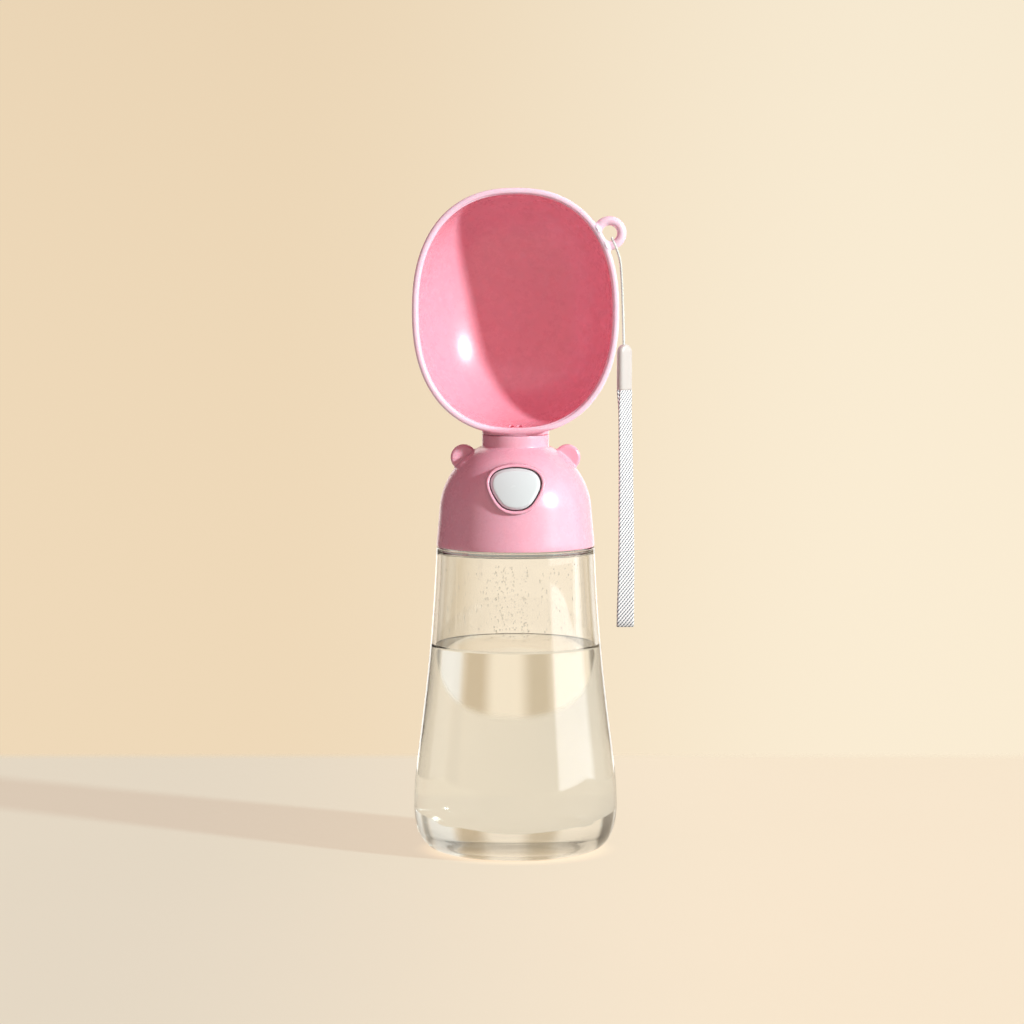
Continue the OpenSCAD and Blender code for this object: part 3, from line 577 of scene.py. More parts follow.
def spun(profile, steps, closed=False):
    """A profile of (radius, height) points spun once round the upright axis."""
    bm = bmesh.new()
    verts = [bm.verts.new((r, 0.0, z)) for r, z in profile]
    pairs = list(zip(verts, verts[1:])) + ([(verts[-1], verts[0])] if closed else [])
    edges = [bm.edges.new(pair) for pair in pairs]
    bmesh.ops.spin(bm, geom=verts + edges, cent=(0, 0, 0), axis=(0, 0, 1), dvec=(0, 0, 0),
                   angle=2 * math.pi, steps=steps, use_merge=True)
    bmesh.ops.remove_doubles(bm, verts=bm.verts, dist=1e-5)
    bmesh.ops.recalc_face_normals(bm, faces=bm.faces)
    return bm


def loft(rings, closed=False, marks=None, weld=1e-5):
    """A skin through rings of points; closed joins the last to the first, otherwise both ends are capped.

    marks gives, under a name, a row of numbers for each ring, one for each point, kept on the vertices."""
    around, rows = len(rings[0]), len(rings) + closed
    bm = bmesh.new()
    bmesh.ops.create_grid(bm, x_segments=around, y_segments=rows - 1, size=1.0)
    layers = {name: bm.verts.layers.float.new(name) for name in (marks or {})}
    for v in bm.verts:
        column = round((v.co.x + 1) / 2 * around) % around
        row = round((v.co.y + 1) / 2 * (rows - 1)) % len(rings)
        v.co = rings[row][column]
        for name, layer in layers.items():
            v[layer] = marks[name][row][column]
    bmesh.ops.remove_doubles(bm, verts=bm.verts, dist=weld)
    if not closed:
        caps = bmesh.ops.holes_fill(bm, edges=[e for e in bm.edges if e.is_boundary], sides=0)["faces"]
        bmesh.ops.poke(bm, faces=caps)
    bmesh.ops.recalc_face_normals(bm, faces=bm.faces)
    return bm


def flare_onto(bm, tree, reach, limit=None):
    """Bends what stands on a surface outwards near its foot, so that it grows out with a fillet."""
    bm.normal_update()
    moves = []
    for v in bm.verts:
        place, normal, _, _ = tree.find_nearest(v.co)
        height = (v.co - place).dot(normal)
        near = reach * (limit(v.co) if limit else 1.0)
        out = v.normal - normal * v.normal.dot(normal)
        if -3 * reach < height < near and out.length > 0.25:
            t = 1 - max(height, 0.0) / near
            moves.append((v, out.normalized() * near * (1 - math.sqrt(max(1 - t * t, 0.0)))))
    for v, move in moves:
        v.co += move


def mesh_of(name, bm):
    """A mesh of the bmesh's shape. The bmesh is freed."""
    mesh = bpy.data.meshes.new(name)
    bm.to_mesh(mesh)
    bm.free()
    return mesh


def place_object(name, data):
    obj = bpy.data.objects.new(name, data)
    bpy.context.scene.collection.objects.link(obj)
    return obj


def join_into(bm, other):
    """Adds another bmesh's shape to this one and frees it."""
    keep = mesh_of("passing", other)
    bm.from_mesh(keep)
    bpy.data.meshes.remove(keep)


def cut_away(bm, cutter):
    """The shape without what the cutter covers. Both are freed."""
    pair = [place_object(name, mesh_of(name, part)) for name, part in (("kept", bm), ("cutter", cutter))]
    modifier = pair[0].modifiers.new("cut", "BOOLEAN")
    modifier.operation, modifier.solver, modifier.object = "DIFFERENCE", "EXACT", pair[1]
    bpy.context.view_layer.update()
    result = bmesh.new()
    result.from_mesh(pair[0].evaluated_get(bpy.context.evaluated_depsgraph_get()).to_mesh())
    for obj in pair:
        mesh = obj.data
        bpy.data.objects.remove(obj)
        bpy.data.meshes.remove(mesh)
    return result


def let_light_through(obj, lamps=("key",)):
    """Lets a clear or thin piece's surroundings be lit past it.

    The lamps named don't see it as a blocker, and rays that bounce off matt surfaces pass it, so it casts
    neither a solid's shadow nor bright spills on what it stands on."""
    obj.visible_diffuse = False
    for name in lamps:
        passing = bpy.data.collections[name + PASSING]
        passing.objects.link(obj)
        passing.collection_objects[len(passing.objects) - 1].light_linking.link_state = "EXCLUDE"


def finish_piece(name, bm, body, material, replaces=(), scale=MM, flat_angle=None):
    """Makes a mesh object of the shape, in metres, and rides it on its body."""
    bmesh.ops.scale(bm, vec=(scale,) * 3, verts=bm.verts)
    bm.normal_update()
    for face in bm.faces:
        face.smooth = True
    if flat_angle:
        for edge in bm.edges:
            if len(edge.link_faces) == 2 and edge.calc_face_angle(0.0) > math.radians(flat_angle):
                edge.smooth = False
    mesh = mesh_of(name, bm)
    mesh.materials.append(material)
    obj = place_object(name, mesh)
    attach(obj, body)
    if replaces:
        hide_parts(*replaces)
    return obj


# ---------------------------------------------------------------- shared outlines
def bottle_side(s, inward):
    """Side of the bottle from its belly up to the shoulder, moved in by the wall."""
    h = s.shoulder_height - s.belly_height
    top = s.shoulder_height - 1 - inward
    return bezier(
        (s.belly - inward, s.belly_height),
        (s.belly - inward, s.belly_height + 0.18 * h),
        (s.shoulder + 0.27 * (s.belly - s.shoulder) - inward, s.belly_height + 0.42 * h),
        (s.shoulder - inward, top), 64)


def bottle_corner(r0, z0, r1, z1):
    """Full round between the foot and the belly, a quarter of a squarish ellipse."""
    full, count = 2 / 2.3, 26
    out = []
    for i in range(count + 1):
        a = math.radians(90 * i / count)
        out.append((r0 + (r1 - r0) * math.sin(a) ** full, z1 - (z1 - z0) * max(math.cos(a), 0.0) ** full))
    return out


def bottle_inside(s):
    """Inside of the bottle from the middle of its floor up to the shoulder."""
    corner = bottle_corner(s.foot - 3, s.floor, s.belly - s.wall, s.belly_height)
    return [(0, s.floor), (12, s.floor)], corner + bottle_side(s, s.wall)[1:]


def dome_curve(inward, count=56):
    """Side of the dome from the skirt up to the flat top, moved in by the wall."""
    return bezier(
        (SKIRT_R - inward, SKIRT_TOP),
        (SKIRT_R - 1.35 - inward, SKIRT_TOP + 0.477 * (DOME_TOP - SKIRT_TOP)),
        (TOP_R + 6.9 - inward, DOME_TOP - 3 - inward),
        (TOP_R - inward, DOME_TOP - inward), count)


DOME_TABLE = [(DOME_R, DOME_LOW), *dome_curve(0, 160)]


def dome_radius(z):
    for (r0, z0), (r1, z1) in zip(DOME_TABLE, DOME_TABLE[1:]):
        if z0 <= z <= z1:
            return r0 + (r1 - r0) * (z - z0) / max(z1 - z0, 1e-9)
    return DOME_TABLE[0][0] if z < DOME_LOW else DOME_TABLE[-1][0]


def nose_radius(a):
    """Rounded triangle of the button, as a distance from its middle."""
    sway = 0.095 * math.cos(2 * a) + 0.065 * math.sin(3 * a) + 0.022 * math.sin(5 * a)
    return 8.84 * (1 - 0.035 * math.sin(a) + sway)


NOSE_TURN = [2 * math.pi * i / 144 for i in range(144)]


def nose_point(a, grow, share=1.0):
    """A point (x, z) on the nose's outline, grown outwards."""
    r = (nose_radius(a) + grow) * share
    return r * math.cos(a), NOSE.z + r * math.sin(a)


def face_y(z, out=0.0):
    """Leaning plane of the nose's face; out moves it forward."""
    return NOSE.y + math.tan(NOSE_TILT) * (z - NOSE.z) - out / math.cos(NOSE_TILT)


def nose_ring(grow, place):
    """A ring on the nose's outline, grown, with its distance from place(x, z)."""
    points = [nose_point(a, grow) for a in NOSE_TURN]
    return [(x, place(x, z), z) for x, z in points]


# ---------------------------------------------------------------- operators
class WB_OT_stage(bpy.types.Operator):
    """Makes the camera, the floor, the backdrop and the lights"""

    bl_idname = "waterbottle.stage"
    bl_label = "Studio"

    def execute(self, context):
        looks = context.scene.wb_stage
        camera = place_object("camera", bpy.data.cameras.new("camera"))
        camera.data.lens, camera.data.sensor_width = LENS, SENSOR
        camera.data.clip_start, camera.data.clip_end = 0.05, 60.0
        camera.location = CAMERA_PLACE
        camera.rotation_euler = (math.radians(90 - CAMERA_DOWN), 0, 0)
        context.scene.camera = camera

        bm = bmesh.new()
        bmesh.ops.create_grid(bm, x_segments=24, y_segments=24, size=FLOOR_HALF)
        bmesh.ops.translate(bm, vec=(0, 0, -FLOOR_DROP), verts=bm.verts)
        mesh = mesh_of("studio_floor", bm)
        mesh.materials.append(floor_finish(looks))
        floor = place_object("studio_floor", mesh)
        context.scene.world = studio_world(looks)

        # most of the key light passes the clear pieces, so their shadow is paler than a solid's
        for name, share in LAMPS.items():
            lamp = place_object(name, bpy.data.lights.new(name, "SUN"))
            lamp.data.energy, lamp.data.angle = looks.key * share, math.radians(SUN_WIDTH)
            lamp.data.color = SUN_COLOUR
            lamp.rotation_euler = SUNLIGHT.to_track_quat("Z", "Y").to_euler()
            lamp.visible_transmission = False
            lamp.light_linking.blocker_collection = bpy.data.collections.new(name + PASSING)
        context.scene.view_settings.view_transform = "Standard"
        return {"FINISHED"}


class WB_OT_string(bpy.types.Operator):
    """Makes the twisted string that loops through the scoop's eye"""

    bl_idname = "waterbottle.string"
    bl_label = "Lanyard String"

    def execute(self, context):
        s = context.scene.wb_lanyard
        route = smooth_route(STRING_ROUTE, 0.00024)
        sides = 18
        side = Vector((0, 1, 0))
        rings, run = [], []
        for p, ahead, travelled in travel(route):
            side = (side - ahead * side.dot(ahead)).normalized()
            other = ahead.cross(side)
            turn = 2 * math.pi * travelled / (s.lay * MM)
            ring = []
            for k in range(sides):
                a = 2 * math.pi * k / sides
                r = s.string * MM * (0.30 + 0.20 * abs(math.cos(a)) ** 0.8)
                ring.append(p + r * (math.cos(a + turn) * side + math.sin(a + turn) * other))
            rings.append(ring)
            run.append([travelled] * sides)
        bm = loft(rings, marks={"level": run}, weld=1e-7)
        uv, level = bm.loops.layers.uv.new("run"), bm.verts.layers.float["level"]
        for face in bm.faces:
            for k, loop in enumerate(face.loops):
                loop[uv].uv = (k / 4, loop.vert[level])
        obj = finish_piece("lanyard_cord", bm, "lanyard", string_finish((0.94, 0.91, 0.85)),
                           ["lanyard_string"], scale=1.0)
        let_light_through(obj, LAMPS)
        return {"FINISHED"}


class WB_OT_strap(bpy.types.Operator):
    """Makes the flat braided wrist strap, folded into a hanging loop"""

    bl_idname = "waterbottle.strap"
    bl_label = "Wrist Strap"

    def execute(self, context):
        s = context.scene.wb_lanyard
        route = smooth_route(STRAP_ROUTE, 0.00032)
        half, thick = s.width * MM / 2, s.thickness * MM / 2
        way = [-1 + 2 * i / 26 for i in range(27)]
        outline = [(u, 1.0) for u in way] + [(1.0, 0.5), (1.0, 0.0), (1.0, -0.5)]
        outline += [(-u, -v) for u, v in outline]
        rings, run = [], []
        for p, ahead, travelled in travel(route):
            rise = max(p.z - STRAP_LOW, 0.0) / (FERRULE.z * MM - STRAP_LOW)
            w = math.radians(STRAP_TURN * rise ** STRAP_EASE)
            across = Vector((math.cos(w), math.sin(w), 0.0))
            face = ahead.cross(across).normalized()
            ring = []
            for u, v in outline:
                x = u * half * (1 - 0.012 * math.sin(travelled * 2 * math.pi / 0.0023))
                edge = 1 - max(abs(u) - 0.86, 0.0) / 0.14 * 0.45
                slant = math.sin(2 * math.pi * (travelled + BRAID_SLANT * x) / BRAID)
                cross = math.sin(2 * math.pi * (travelled - BRAID_SLANT * x) / BRAID)
                relief = 0.07 * slant + 0.03 * cross if abs(v) > 0.9 else 0.0
                y = v * thick * (edge - 0.09 + relief)
                ring.append(p + across * x + face * y)
            rings.append(ring)
            run.append([travelled] * len(outline))
        places = [[u * half for u, _ in outline]] * len(rings)
        bm = loft(rings, marks={"across": places, "along": run}, weld=1e-7)
        uv = bm.loops.layers.uv.new("run")
        marks = [bm.verts.layers.float[name] for name in ("across", "along")]
        for face in bm.faces:
            for loop in face.loops:
                loop[uv].uv = [loop.vert[mark] for mark in marks]
        obj = finish_piece("wrist_webbing", bm, "lanyard", webbing_finish(tuple(s.light), tuple(s.painted_gap_shade_colour)),
                           ["wrist_strap"], scale=1.0)
        let_light_through(obj, LAMPS)
        return {"FINISHED"}


class WB_OT_ferrule(bpy.types.Operator):
    """Makes the moulded ferrule that joins string and strap"""

    bl_idname = "waterbottle.ferrule"
    bl_label = "Ferrule"

    def execute(self, context):
        half_w, half_t, straight = 3.5, 1.7, 14.5

        def ring(w, t, z):
            out = []
            for i in range(64):
                a = 2 * math.pi * i / 64
                c, d = math.cos(a), math.sin(a)
                out.append((w * math.copysign(abs(c) ** 0.55, c), t * math.copysign(abs(d) ** 0.8, d), z))
            return out

        rings = [ring(half_w - 0.9, half_t - 0.75, 1.6), ring(half_w - 0.85, half_t - 0.7, 0.12),
                 ring(half_w - 0.6, half_t - 0.5, 0.0), ring(half_w - 0.2, half_t - 0.2, 0.06),
                 ring(half_w - 0.03, half_t - 0.03, 0.3), ring(half_w, half_t, 0.7)]
        rings += [ring(half_w, half_t, 0.7 + (straight - 0.7) * i / 6) for i in range(1, 7)]
        for i in range(1, 15):
            a = math.radians(88.5 * i / 14)
            thin = max(math.cos(a), 0.02) ** 0.4
            rings.append(ring(half_w * math.cos(a), half_t * thin, straight + half_w * math.sin(a)))
        bm = loft(rings)
        slant = Matrix.Rotation(math.radians(STRAP_TURN), 3, "Z")
        bmesh.ops.rotate(bm, cent=(0, 0, 0), matrix=slant, verts=bm.verts)
        bmesh.ops.translate(bm, vec=FERRULE, verts=bm.verts)
        finish = ferrule_finish(tuple(context.scene.wb_lanyard.ferrule))
        obj = finish_piece("ferrule_sleeve", bm, "lanyard", finish, ["lanyard_ferrule"])
        let_light_through(obj, LAMPS)
        return {"FINISHED"}


class WB_OT_bottle(bpy.types.Operator):
    """Makes the clear bottle with its foot, shoulder, neck and thread"""

    bl_idname = "waterbottle.bottle"
    bl_label = "Bottle"

    def execute(self, context):
        s = context.scene.wb_bottle
        outside = [(0, 0.5), (6, 0.5), (12, 0.49), (17, 0.43), (20.5, 0.3), (23, 0.14), (25, 0.03),
                   (26.5, 0.0)]
        outside += bottle_corner(s.foot, 0.0, s.belly, s.belly_height) + bottle_side(s, 0)[1:]
        outside += arc((s.shoulder - 0.75, s.shoulder_height - 0.75), 0.75, 10, 90, 6)
        outside += [(26.5, s.shoulder_height)]
        outside += arc((NECK_R + 0.6, s.shoulder_height + 0.6), 0.6, 270, 180, 4)
        outside += [(NECK_R, NECK_MID)] + arc((NECK_R - 0.5, LIP - 0.5), 0.5, 0, 90, 5)
        middle, side = bottle_inside(s)
        inside = middle + side
        top, under = s.shoulder_height - s.lid, s.shoulder - s.wall
        inside += bezier((under, s.shoulder_height - 1 - s.wall), (under - 0.05, top - 0.9),
                         (under - 0.5, top), (under - 1.6, top), 8)[1:]
        inside += [(NECK_IN + 2.5, top), (NECK_IN + 0.6, top + 0.05), (NECK_IN + 0.1, top + 0.3),
                   (NECK_IN, top + 0.8), (NECK_IN, NECK_MID)]
        inside += arc((NECK_IN + 0.4, LIP - 0.4), 0.4, 180, 90, 4)
        bm = spun(outside + inside[::-1], 176)

        ridge = bmesh.new()
        outline = [(NECK_R - 0.4, -0.8), (NECK_R + 0.9, -0.52), (NECK_R + 1.22, -0.36), (NECK_R + 1.3, -0.2),
                   (NECK_R + 1.3, 0.2), (NECK_R + 1.22, 0.36), (NECK_R + 0.9, 0.52), (NECK_R - 0.4, 0.8)]
        start = s.shoulder_height + 3.2
        verts = [ridge.verts.new((r, 0, start + z)) for r, z in outline]
        edges = [ridge.edges.new(pair) for pair in zip(verts, verts[1:] + verts[:1])]
        steps = 116
        climb = THREAD_PITCH * THREAD_TURNS
        bmesh.ops.spin(ridge, geom=verts + edges, cent=(0, 0, 0), axis=(0, 0, 1), dvec=(0, 0, climb / steps),
                       angle=2 * math.pi * THREAD_TURNS, steps=steps)
        bmesh.ops.holes_fill(ridge, edges=ridge.edges, sides=8)
        bmesh.ops.recalc_face_normals(ridge, faces=ridge.faces)
        for v in ridge.verts:
            turn = (v.co.z - start) / climb
            taper = min(1.0, max(0.0, turn / 0.04), max(0.0, (1 - turn) / 0.04))
            r = math.hypot(v.co.x, v.co.y)
            wanted = NECK_R - 0.4 + (r - NECK_R + 0.4) * max(taper, 0.05)
            v.co.x, v.co.y = v.co.x * wanted / r, v.co.y * wanted / r
        join_into(bm, ridge)
        let_light_through(finish_piece("bottle_body", bm, "bottle", clear_plastic(tuple(s.tint)),
                                       ["bottle"], flat_angle=50))
        return {"FINISHED"}


class WB_OT_water(bpy.types.Operator):
    """Makes the water and the drops that cling to the inside above it"""

    bl_idname = "waterbottle.water"
    bl_label = "Water"

    def execute(self, context):
        s = context.scene.wb_bottle
        wet = 0.06  # the water reaches this far into the plastic, so that no film of air shows between them
        top = s.water + 0.25
        _, side = bottle_inside(s)
        side = [(r + wet, z) for r, z in side]
        edge = next(r for r, z in side if z > top)
        profile = [(0, s.floor - wet), (12, s.floor - wet)]
        profile += [(r, max(z, s.floor) - (wet if z < 8 else 0)) for r, z in side if z < top]
        profile += [(edge - inward, s.water + up) for inward, up in MENISCUS] + [(12, s.water), (0, s.water)]
        let_light_through(finish_piece("water_fill", spun(profile, 176), "bottle",
                                       water_finish("still_water", 0.05)))

        rng = random.Random(11)
        inner = bottle_side(s, s.wall)
        drops = bmesh.new()
        for _ in range(s.drops):
            z = rng.uniform(s.water + 4, s.shoulder_height - 5)
            a = rng.gauss(-90, 42)
            if rng.random() < 0.35:
                a = rng.choice((-104, -92, -84, -99)) + rng.gauss(0, 1.6)
            r = next(rr for rr, zz in inner if zz >= z)
            size = rng.choice((0.12, 0.16, 0.2, 0.26)) * rng.uniform(0.8, 1.2)
            one = bmesh.new()
            bmesh.ops.create_uvsphere(one, u_segments=8, v_segments=5, radius=1.0)
            out = Vector((math.cos(math.radians(a)), math.sin(math.radians(a)), 0))
            tall = rng.uniform(1.0, 2.6)
            turn = out.to_track_quat("Z", "Y").to_matrix().to_4x4()
            place = Matrix.Translation(out * (r + 0.02) + Vector((0, 0, z)))
            shape = Matrix.Diagonal((size, size * tall, size * 0.22, 1))
            bmesh.ops.transform(one, matrix=place @ turn @ shape, verts=one.verts)
            join_into(drops, one)
        let_light_through(finish_piece("water_drops", drops, "bottle",
                                       water_finish("clinging_drops", 0.0)))
        return {"FINISHED"}


class WB_OT_head(bpy.types.Operator):
    """Makes the head shell: dome, collar, two ears and the bezel round the button"""

    bl_idname = "waterbottle.head"
    bl_label = "Head Shell"

    def execute(self, context):
        s = context.scene.wb_head
        outside = [(DOME_R - 0.4, DOME_LOW)] + arc((DOME_R - 0.4, DOME_LOW + 0.4), 0.4, 270, 360, 4)
        low, rise = DOME_LOW + 0.4, SKIRT_TOP - DOME_LOW - 0.4
        outside += [(DOME_R + (SKIRT_R - DOME_R) * i / 8, low + rise * i / 8) for i in range(1, 8)]
        outside += dome_curve(0)
        outside += arc((COLLAR_R + 0.55, DOME_TOP + 0.55), 0.55, 262, 180, 6)
        outside += [(COLLAR_R, 164.5)] + arc((COLLAR_R - 0.35, COLLAR_TOP - 0.35), 0.35, 0, 90, 4)
        inside = [(COLLAR_BORE + 0.2, COLLAR_TOP), (COLLAR_BORE, COLLAR_TOP - 0.2), (COLLAR_BORE, 162.0),
                  (COLLAR_BORE, COLLAR_LOW + 0.2), (COLLAR_BORE + 0.2, COLLAR_LOW),
                  (COLLAR_R - 0.2, COLLAR_LOW)]
        inner = [(r, z) for r, z in dome_curve(DOME_WALL)[::-1] if r > COLLAR_R + 0.2]
        inside += inner + [(DOME_R - DOME_WALL, DOME_LOW + 0.3), (DOME_R - DOME_WALL + 0.3, DOME_LOW)]
        dome = spun(outside + inside, 216, closed=True)
        tree = BVHTree.FromBMesh(dome)

        hole = s.gap + 0.55
        # the hole's cutter reaches from in front of the dome to inside it
        dome = cut_away(dome, loft([nose_ring(hole, lambda x, z, y=y: y) for y in (-42.0, -15.5)]))

        def skin(x, z, out=0.0):
            r = dome_radius(z) + out
            return -math.sqrt(max(r * r - x * x, 0.0))

        rings = [nose_ring(s.gap + 0.9, lambda x, z: NOSE_BACK + 1.0),
                 nose_ring(s.gap, lambda x, z: NOSE_BACK)]
        # the bezel's round section: how far out from the gap, of 1.2, and how far behind its front
        for grow, sink in ((0, 3.0), (0, 1.0), (0, 0.55), (0.05, 0.3), (0.16, 0.13), (0.32, 0.03), (0.5, 0.0),
                           (0.7, 0.0), (0.9, 0.03), (1.04, 0.12), (1.14, 0.28), (1.2, 0.5)):
            rings.append(nose_ring(s.gap + grow * s.bezel / 1.2, lambda x, z, k=sink: face_y(z, -k)))
        edge = s.gap + s.bezel
        steps = 9
        for i in range(1, steps + 1):
            t = i / steps
            ring = []
            for a in NOSE_TURN:
                x0, z0 = nose_point(a, edge)
                start = Vector((x0, face_y(z0, -0.5), z0))
                tall = max(skin(x0, z0) - start.y, 0.3)
                run = min(s.flare, 0.5 + 0.75 * tall)
                xf, zf = nose_point(a, edge + run)
                xm, zm = nose_point(a, edge + 0.3 * run)
                foot = Vector((xf, skin(xf, zf), zf))
                lean = Vector((xm, skin(xm, zm) - 0.02, zm))
                down = start + Vector((0, 0.55 * tall, 0))
                ring.append(Vector(bezier(start, down, lean, foot, steps)[i]))
            rings.append(ring)
        sunk = []
        for v, a in zip(rings[-1], NOSE_TURN):
            out = Vector((math.cos(a), 0, math.sin(a)))
            place = v + out * 0.5
            sunk.append(Vector((place.x, skin(place.x, place.z, -0.5), place.z)))
        rings.append(sunk)
        join_into(dome, loft(rings, closed=True))

        for side in (-1, 1):
            r, t = s.ear, s.ear_thickness / 2
            front = [(0, -t + 0.3), (1.2, -t + 0.28), (2.4, -t + 0.19), (3.4, -t + 0.08)]
            rim = arc((r - 1.25, -t + 1.25), 1.25, -75, 0, 8)
            back = arc((r - 1.6, t - 1.6), 1.6, 0, 88, 8)
            profile = front + rim + [(r, 0.0)] + back + [(2.6, t), (1.3, t), (0, t)]
            fine = []
            for (r0, z0), (r1, z1) in zip(profile, profile[1:]):
                parts = max(1, round(math.hypot(r1 - r0, z1 - z0) / 0.28))
                fine += [(r0 + (r1 - r0) * i / parts, z0 + (z1 - z0) * i / parts) for i in range(parts)]
            fine.append(profile[-1])
            ear = spun(fine, 112)
            upright = Matrix.Rotation(math.radians(-90), 3, "X")
            bmesh.ops.rotate(ear, cent=(0, 0, 0), matrix=upright, verts=ear.verts)
            bmesh.ops.translate(ear, vec=(side * EAR_X, 0, EAR_Z), verts=ear.verts)
            flare_onto(ear, tree, 0.8)
            join_into(dome, ear)

        for i in range(4):
            rib = bmesh.new()
            bmesh.ops.create_cube(rib, size=1.0)
            bmesh.ops.scale(rib, vec=(1.7, 2.4, 12.0), verts=rib.verts)
            bmesh.ops.bevel(rib, geom=rib.edges, offset=0.25, segments=2, profile=0.5, affect="EDGES",
                            material=-1)
            bmesh.ops.translate(rib, vec=(28.55, 0, 128.5), verts=rib.verts)
            quarter = Matrix.Rotation(math.radians(45 + 90 * i), 3, "Z")
            bmesh.ops.rotate(rib, cent=(0, 0, 0), matrix=quarter, verts=rib.verts)
            join_into(dome, rib)
        finish_piece("head_dome", dome, "head", pink_finish(context), ["head_shell"],
                     flat_angle=42)
        return {"FINISHED"}


class WB_OT_button(bpy.types.Operator):
    """Makes the nose push button"""

    bl_idname = "waterbottle.button"
    bl_label = "Nose Button"

    def execute(self, context):
        def crown(x, z, low):
            flat = x * x + ((z - NOSE.z) / math.cos(NOSE_TILT)) ** 2
            return face_y(z, 1.0 - flat / 90.0 - low)

        # the button's back and straight side, then its rounded edge and its crown
        rings = [nose_ring(grow, lambda x, z, y=y: y)
                 for grow, y in ((-1.6, -20.6), (0.0, -20.6), (0.0, -23.5))]
        for grow, low in ((0, 1.5), (0, 1.15), (-0.04, 0.95), (-0.14, 0.8), (-0.3, 0.66), (-0.6, 0.42),
                          (-0.86, 0.2), (-0.98, 0.09), (-1.08, 0.03), (-1.2, 0.0)):
            rings.append(nose_ring(grow, lambda x, z, k=low: crown(x, z, k)))
        for share in (0.9, 0.78, 0.64, 0.5, 0.36, 0.22, 0.1, 0.02):
            ring = []
            for a in NOSE_TURN:
                x, z = nose_point(a, -1.2, share)
                ring.append((x, crown(x, z, 0.0), z))
            rings.append(ring)
        finish = moulded("button_plastic", tuple(context.scene.wb_head.button), 0.26, 0.15, 0.015)
        finish_piece("nose_push", loft(rings), "button", finish, ["nose_button"], flat_angle=50)
        return {"FINISHED"}


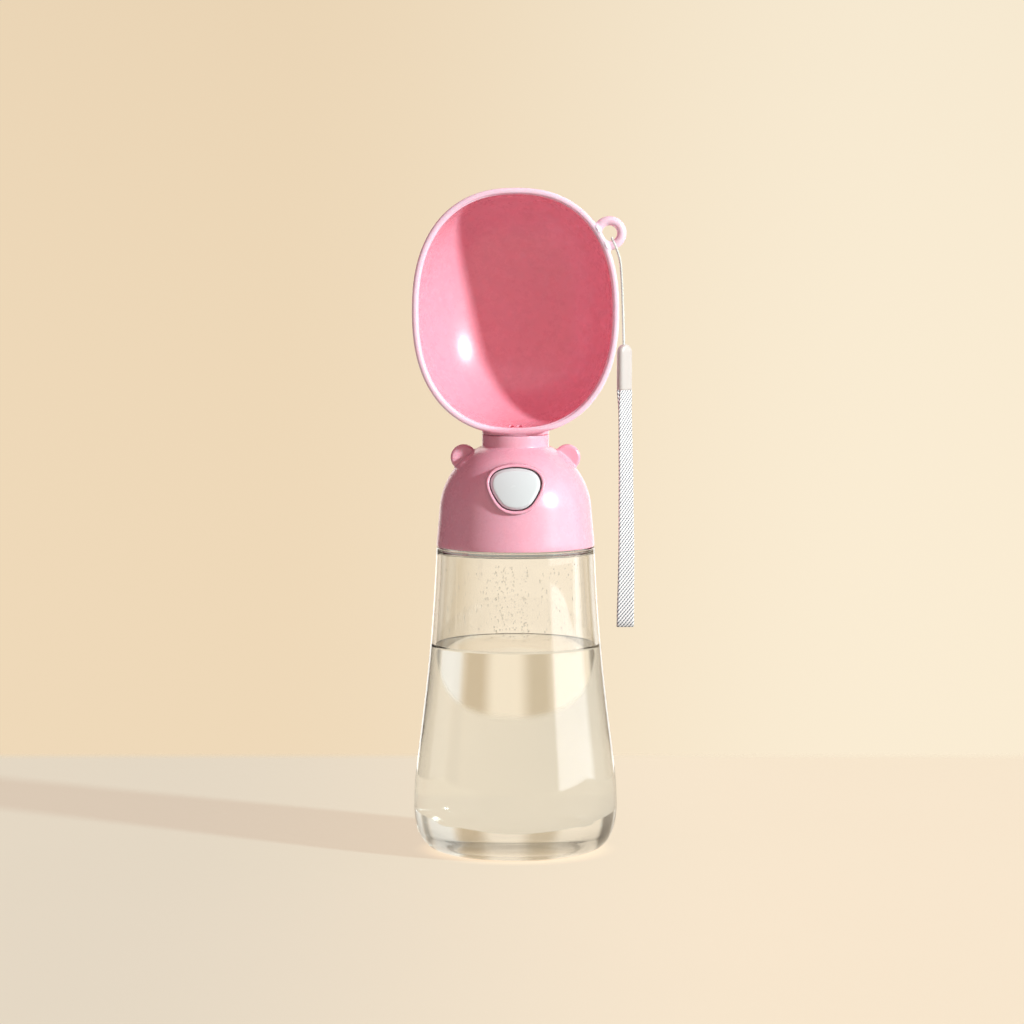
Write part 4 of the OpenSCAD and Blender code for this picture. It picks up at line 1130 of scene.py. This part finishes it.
class WB_OT_scoop(bpy.types.Operator):
    """Makes the drinking scoop: bowl, rim, neck, spigot, drain holes and lanyard eye"""

    bl_idname = "waterbottle.scoop"
    bl_label = "Scoop"

    def execute(self, context):
        s = context.scene.wb_scoop
        turn = [-2 * math.pi * i / 192 for i in range(192)]

        def curve(value):
            return math.copysign(abs(value) ** (2 / s.power), value)

        def ring(k, off, y):
            return [((s.half_width * k + off) * curve(math.cos(a)), y,
                     SCOOP_Z + (s.half_height * k + off) * curve(math.sin(a))) for a in turn]

        def bowl(inset, angles):
            out = []
            for t in angles:
                deep, wide = (f(math.radians(t)) ** (2 / s.fullness) for f in (math.cos, math.sin))
                out.append(ring(wide, -inset * max(wide, 0.2), RIM_Y + (s.depth - inset) * deep))
            return out

        angles = [1.2, 3, 5, 7.5] + [10 + 2.6 * i for i in range(29)]
        lip = -s.bead - s.wall
        rings = bowl(s.bead, angles)
        # the rim from the bowl's outside round its bead to the inside
        rings += [ring(1, off, RIM_Y + y) for off, y in (
            (-0.35, 3.4), (-0.35, 2.75), (-0.3, 2.45), (-0.16, 2.1), (-0.04, 1.75), (0.0, 1.4), (0.0, 1.1),
            (-0.05, 0.78), (-0.18, 0.48), (-0.4, 0.22), (-0.7, 0.06), (-1.05, 0.0), (-1.45, 0.0),
            (-1.75, 0.04), (-1.95, 0.16), (-2.06, 0.34), (-2.1, 0.6), (-2.12, 0.85), (-2.2, 0.97),
            (-2.38, 1.0), (lip + 0.06, 1.04), (lip, 1.2), (lip, 1.7))]
        rings += bowl(s.bead + s.wall, angles)[::-1]
        shell = loft(rings)
        outer = loft(rings[:len(angles) + 12])
        tree = BVHTree.FromBMesh(outer)
        outer.free()

        rows = [0.0, 0.2, 0.4, 0.55, 0.68, 0.78, 0.85, 0.9, 0.94, 0.97, 1.0]
        profile = [(0, SPIGOT_TOP), (4, SPIGOT_TOP), (SPIGOT_BORE - 0.2, SPIGOT_TOP),
                   (SPIGOT_BORE, SPIGOT_TOP - 0.2), (SPIGOT_BORE, SPIGOT_LOW + 0.2),
                   (SPIGOT_BORE + 0.2, SPIGOT_LOW), (SPIGOT_R - 0.3, SPIGOT_LOW),
                   (SPIGOT_R, SPIGOT_LOW + 0.3), (SPIGOT_R, GROOVE_LOW), (GROOVE_R, GROOVE_LOW),
                   (GROOVE_R, GROOVE_TOP), (SPIGOT_R, GROOVE_TOP), (SPIGOT_R, NECK_LOW), (13.0, NECK_LOW)]
        profile += arc((COLLAR_R - 0.3, NECK_LOW + 0.3), 0.3, 290, 360, 3)
        profile += [(COLLAR_R, 200 + k) for k in rows] + [(r, 202) for r in (COLLAR_R, 11.5, 8.5, 5, 2.5, 0)]
        neck = spun(profile, 128)
        # heights of 200 and more stand for shares of the way up to the bowl
        for v in neck.verts:
            if v.co.z > 199:
                hit = tree.ray_cast(Vector((v.co.x, v.co.y, 140)), Vector((0, 0, 1)))[0]
                under = hit.z if hit else NECK_LOW + 0.7
                climb = (under - NECK_LOW - 0.35) * (v.co.z - 200)
                v.co.z = NECK_LOW + 0.35 + climb if v.co.z < 201.5 else under + 0.9
        bmesh.ops.recalc_face_normals(neck, faces=neck.faces)
        flare_onto(neck, tree, 1.0, lambda p: min(1.0, max(0.05, (p.y + 13.4) / 3.0)) if p.z > 167 else 0.001)

        def drain_holes(stretch):
            """Two upright round cutters, drawn out from front to back."""
            holes = bmesh.new()
            for side in (-1, 1):
                one = bmesh.new()
                bmesh.ops.create_cone(one, cap_ends=True, segments=40, radius1=DRAIN_R, radius2=DRAIN_R,
                                      depth=16)
                bmesh.ops.translate(one, vec=(side * DRAIN_X, DRAIN_Y, DRAIN_Z), verts=one.verts)
                for v in one.verts:
                    v.co.y = DRAIN_Y + (v.co.y - DRAIN_Y) * stretch
                join_into(holes, one)
            return holes

        shell = cut_away(shell, drain_holes(2.4))
        join_into(shell, cut_away(neck, drain_holes(1.0)))

        eye = bmesh.new()
        made = bmesh.ops.create_circle(eye, segments=36, radius=EYE_BAR)["verts"]
        bmesh.ops.translate(eye, vec=EYE + Vector((EYE_R, 0, 0)), verts=made)
        bmesh.ops.spin(eye, geom=made + eye.edges[:], cent=EYE, axis=(0, 1, 0), angle=2 * math.pi, steps=112,
                       use_merge=True)
        bmesh.ops.remove_doubles(eye, verts=eye.verts, dist=1e-5)
        bmesh.ops.recalc_face_normals(eye, faces=eye.faces)
        flare_onto(eye, tree, 1.0)
        inside = s.bead + s.wall * 0.6
        join_into(shell, cut_away(eye, loft(bowl(inside, angles) + [ring(1, -inside, RIM_Y - 6)])))
        finish_piece("scoop_bowl", shell, "scoop", pink_finish(context), ["scoop"],
                     flat_angle=42)
        return {"FINISHED"}


class WB_OT_inner(bpy.types.Operator):
    """Gives the pieces inside the head their finishes"""

    bl_idname = "waterbottle.inner"
    bl_label = "Inner Pieces"

    def execute(self, context):
        white = moulded("inner_white_plastic", (0.76, 0.76, 0.75), 0.42)
        soft, rubber, steel = silicone_finish(), rubber_finish(), steel_finish()
        groups = {
            white: ("cap_insert", "valve_body", "end_plug", "stem_bush", "valve_stem"),
            soft: ("mouth_gasket", "valve_gasket", "vent_valve", "outlet_o_ring", "swivel_o_ring"),
            rubber: ("end_plug_o_ring", "stem_o_rings"),
            steel: ("valve_screws", "return_spring", "retaining_ring"),
        }
        for material, names in groups.items():
            for name in names:
                slots = frame["nodes"][name].data.materials
                for i in range(len(slots)):
                    slots[i] = material
                if not len(slots):
                    slots.append(material)
        return {"FINISHED"}


def pink_finish(context):
    """The one pink material that head and scoop share."""
    made = bpy.data.materials.get("pink_plastic")
    # the scoop's rim colour goes in as the painted highlight along the rim
    return made or pink_plastic(tuple(context.scene.wb_head.pink), tuple(context.scene.wb_scoop.rim))


OPERATORS = (WB_OT_stage, WB_OT_string, WB_OT_strap, WB_OT_ferrule, WB_OT_bottle, WB_OT_water, WB_OT_head,
             WB_OT_button, WB_OT_scoop, WB_OT_inner)
GROUPS = {"wb_bottle": WB_BottleSizes, "wb_head": WB_HeadSizes, "wb_scoop": WB_ScoopSizes,
          "wb_lanyard": WB_LanyardSizes, "wb_stage": WB_StageLooks}


class WB_PT_panel(bpy.types.Panel):
    """Lists the pieces and their sizes"""

    bl_label = "Dog Water Bottle"
    bl_idname = "WB_PT_panel"
    bl_space_type = "VIEW_3D"
    bl_region_type = "UI"
    bl_category = "Water Bottle"

    def draw(self, context):
        for operator in OPERATORS:
            self.layout.operator(operator.bl_idname)
        for name, group in GROUPS.items():
            box = self.layout.box()
            for key in group.__annotations__:
                box.prop(getattr(context.scene, name), key)


def register():
    for cls in (*GROUPS.values(), *OPERATORS, WB_PT_panel):
        bpy.utils.register_class(cls)
    for name, group in GROUPS.items():
        setattr(bpy.types.Scene, name, PointerProperty(type=group))


def unregister():
    for name in GROUPS:
        delattr(bpy.types.Scene, name)
    for cls in (WB_PT_panel, *reversed(OPERATORS), *GROUPS.values()):
        bpy.utils.unregister_class(cls)


def main():
    register()
    for operator in OPERATORS:
        group, name = operator.bl_idname.split(".")
        getattr(getattr(bpy.ops, group), name)()


if __name__ == "__main__":
    main()
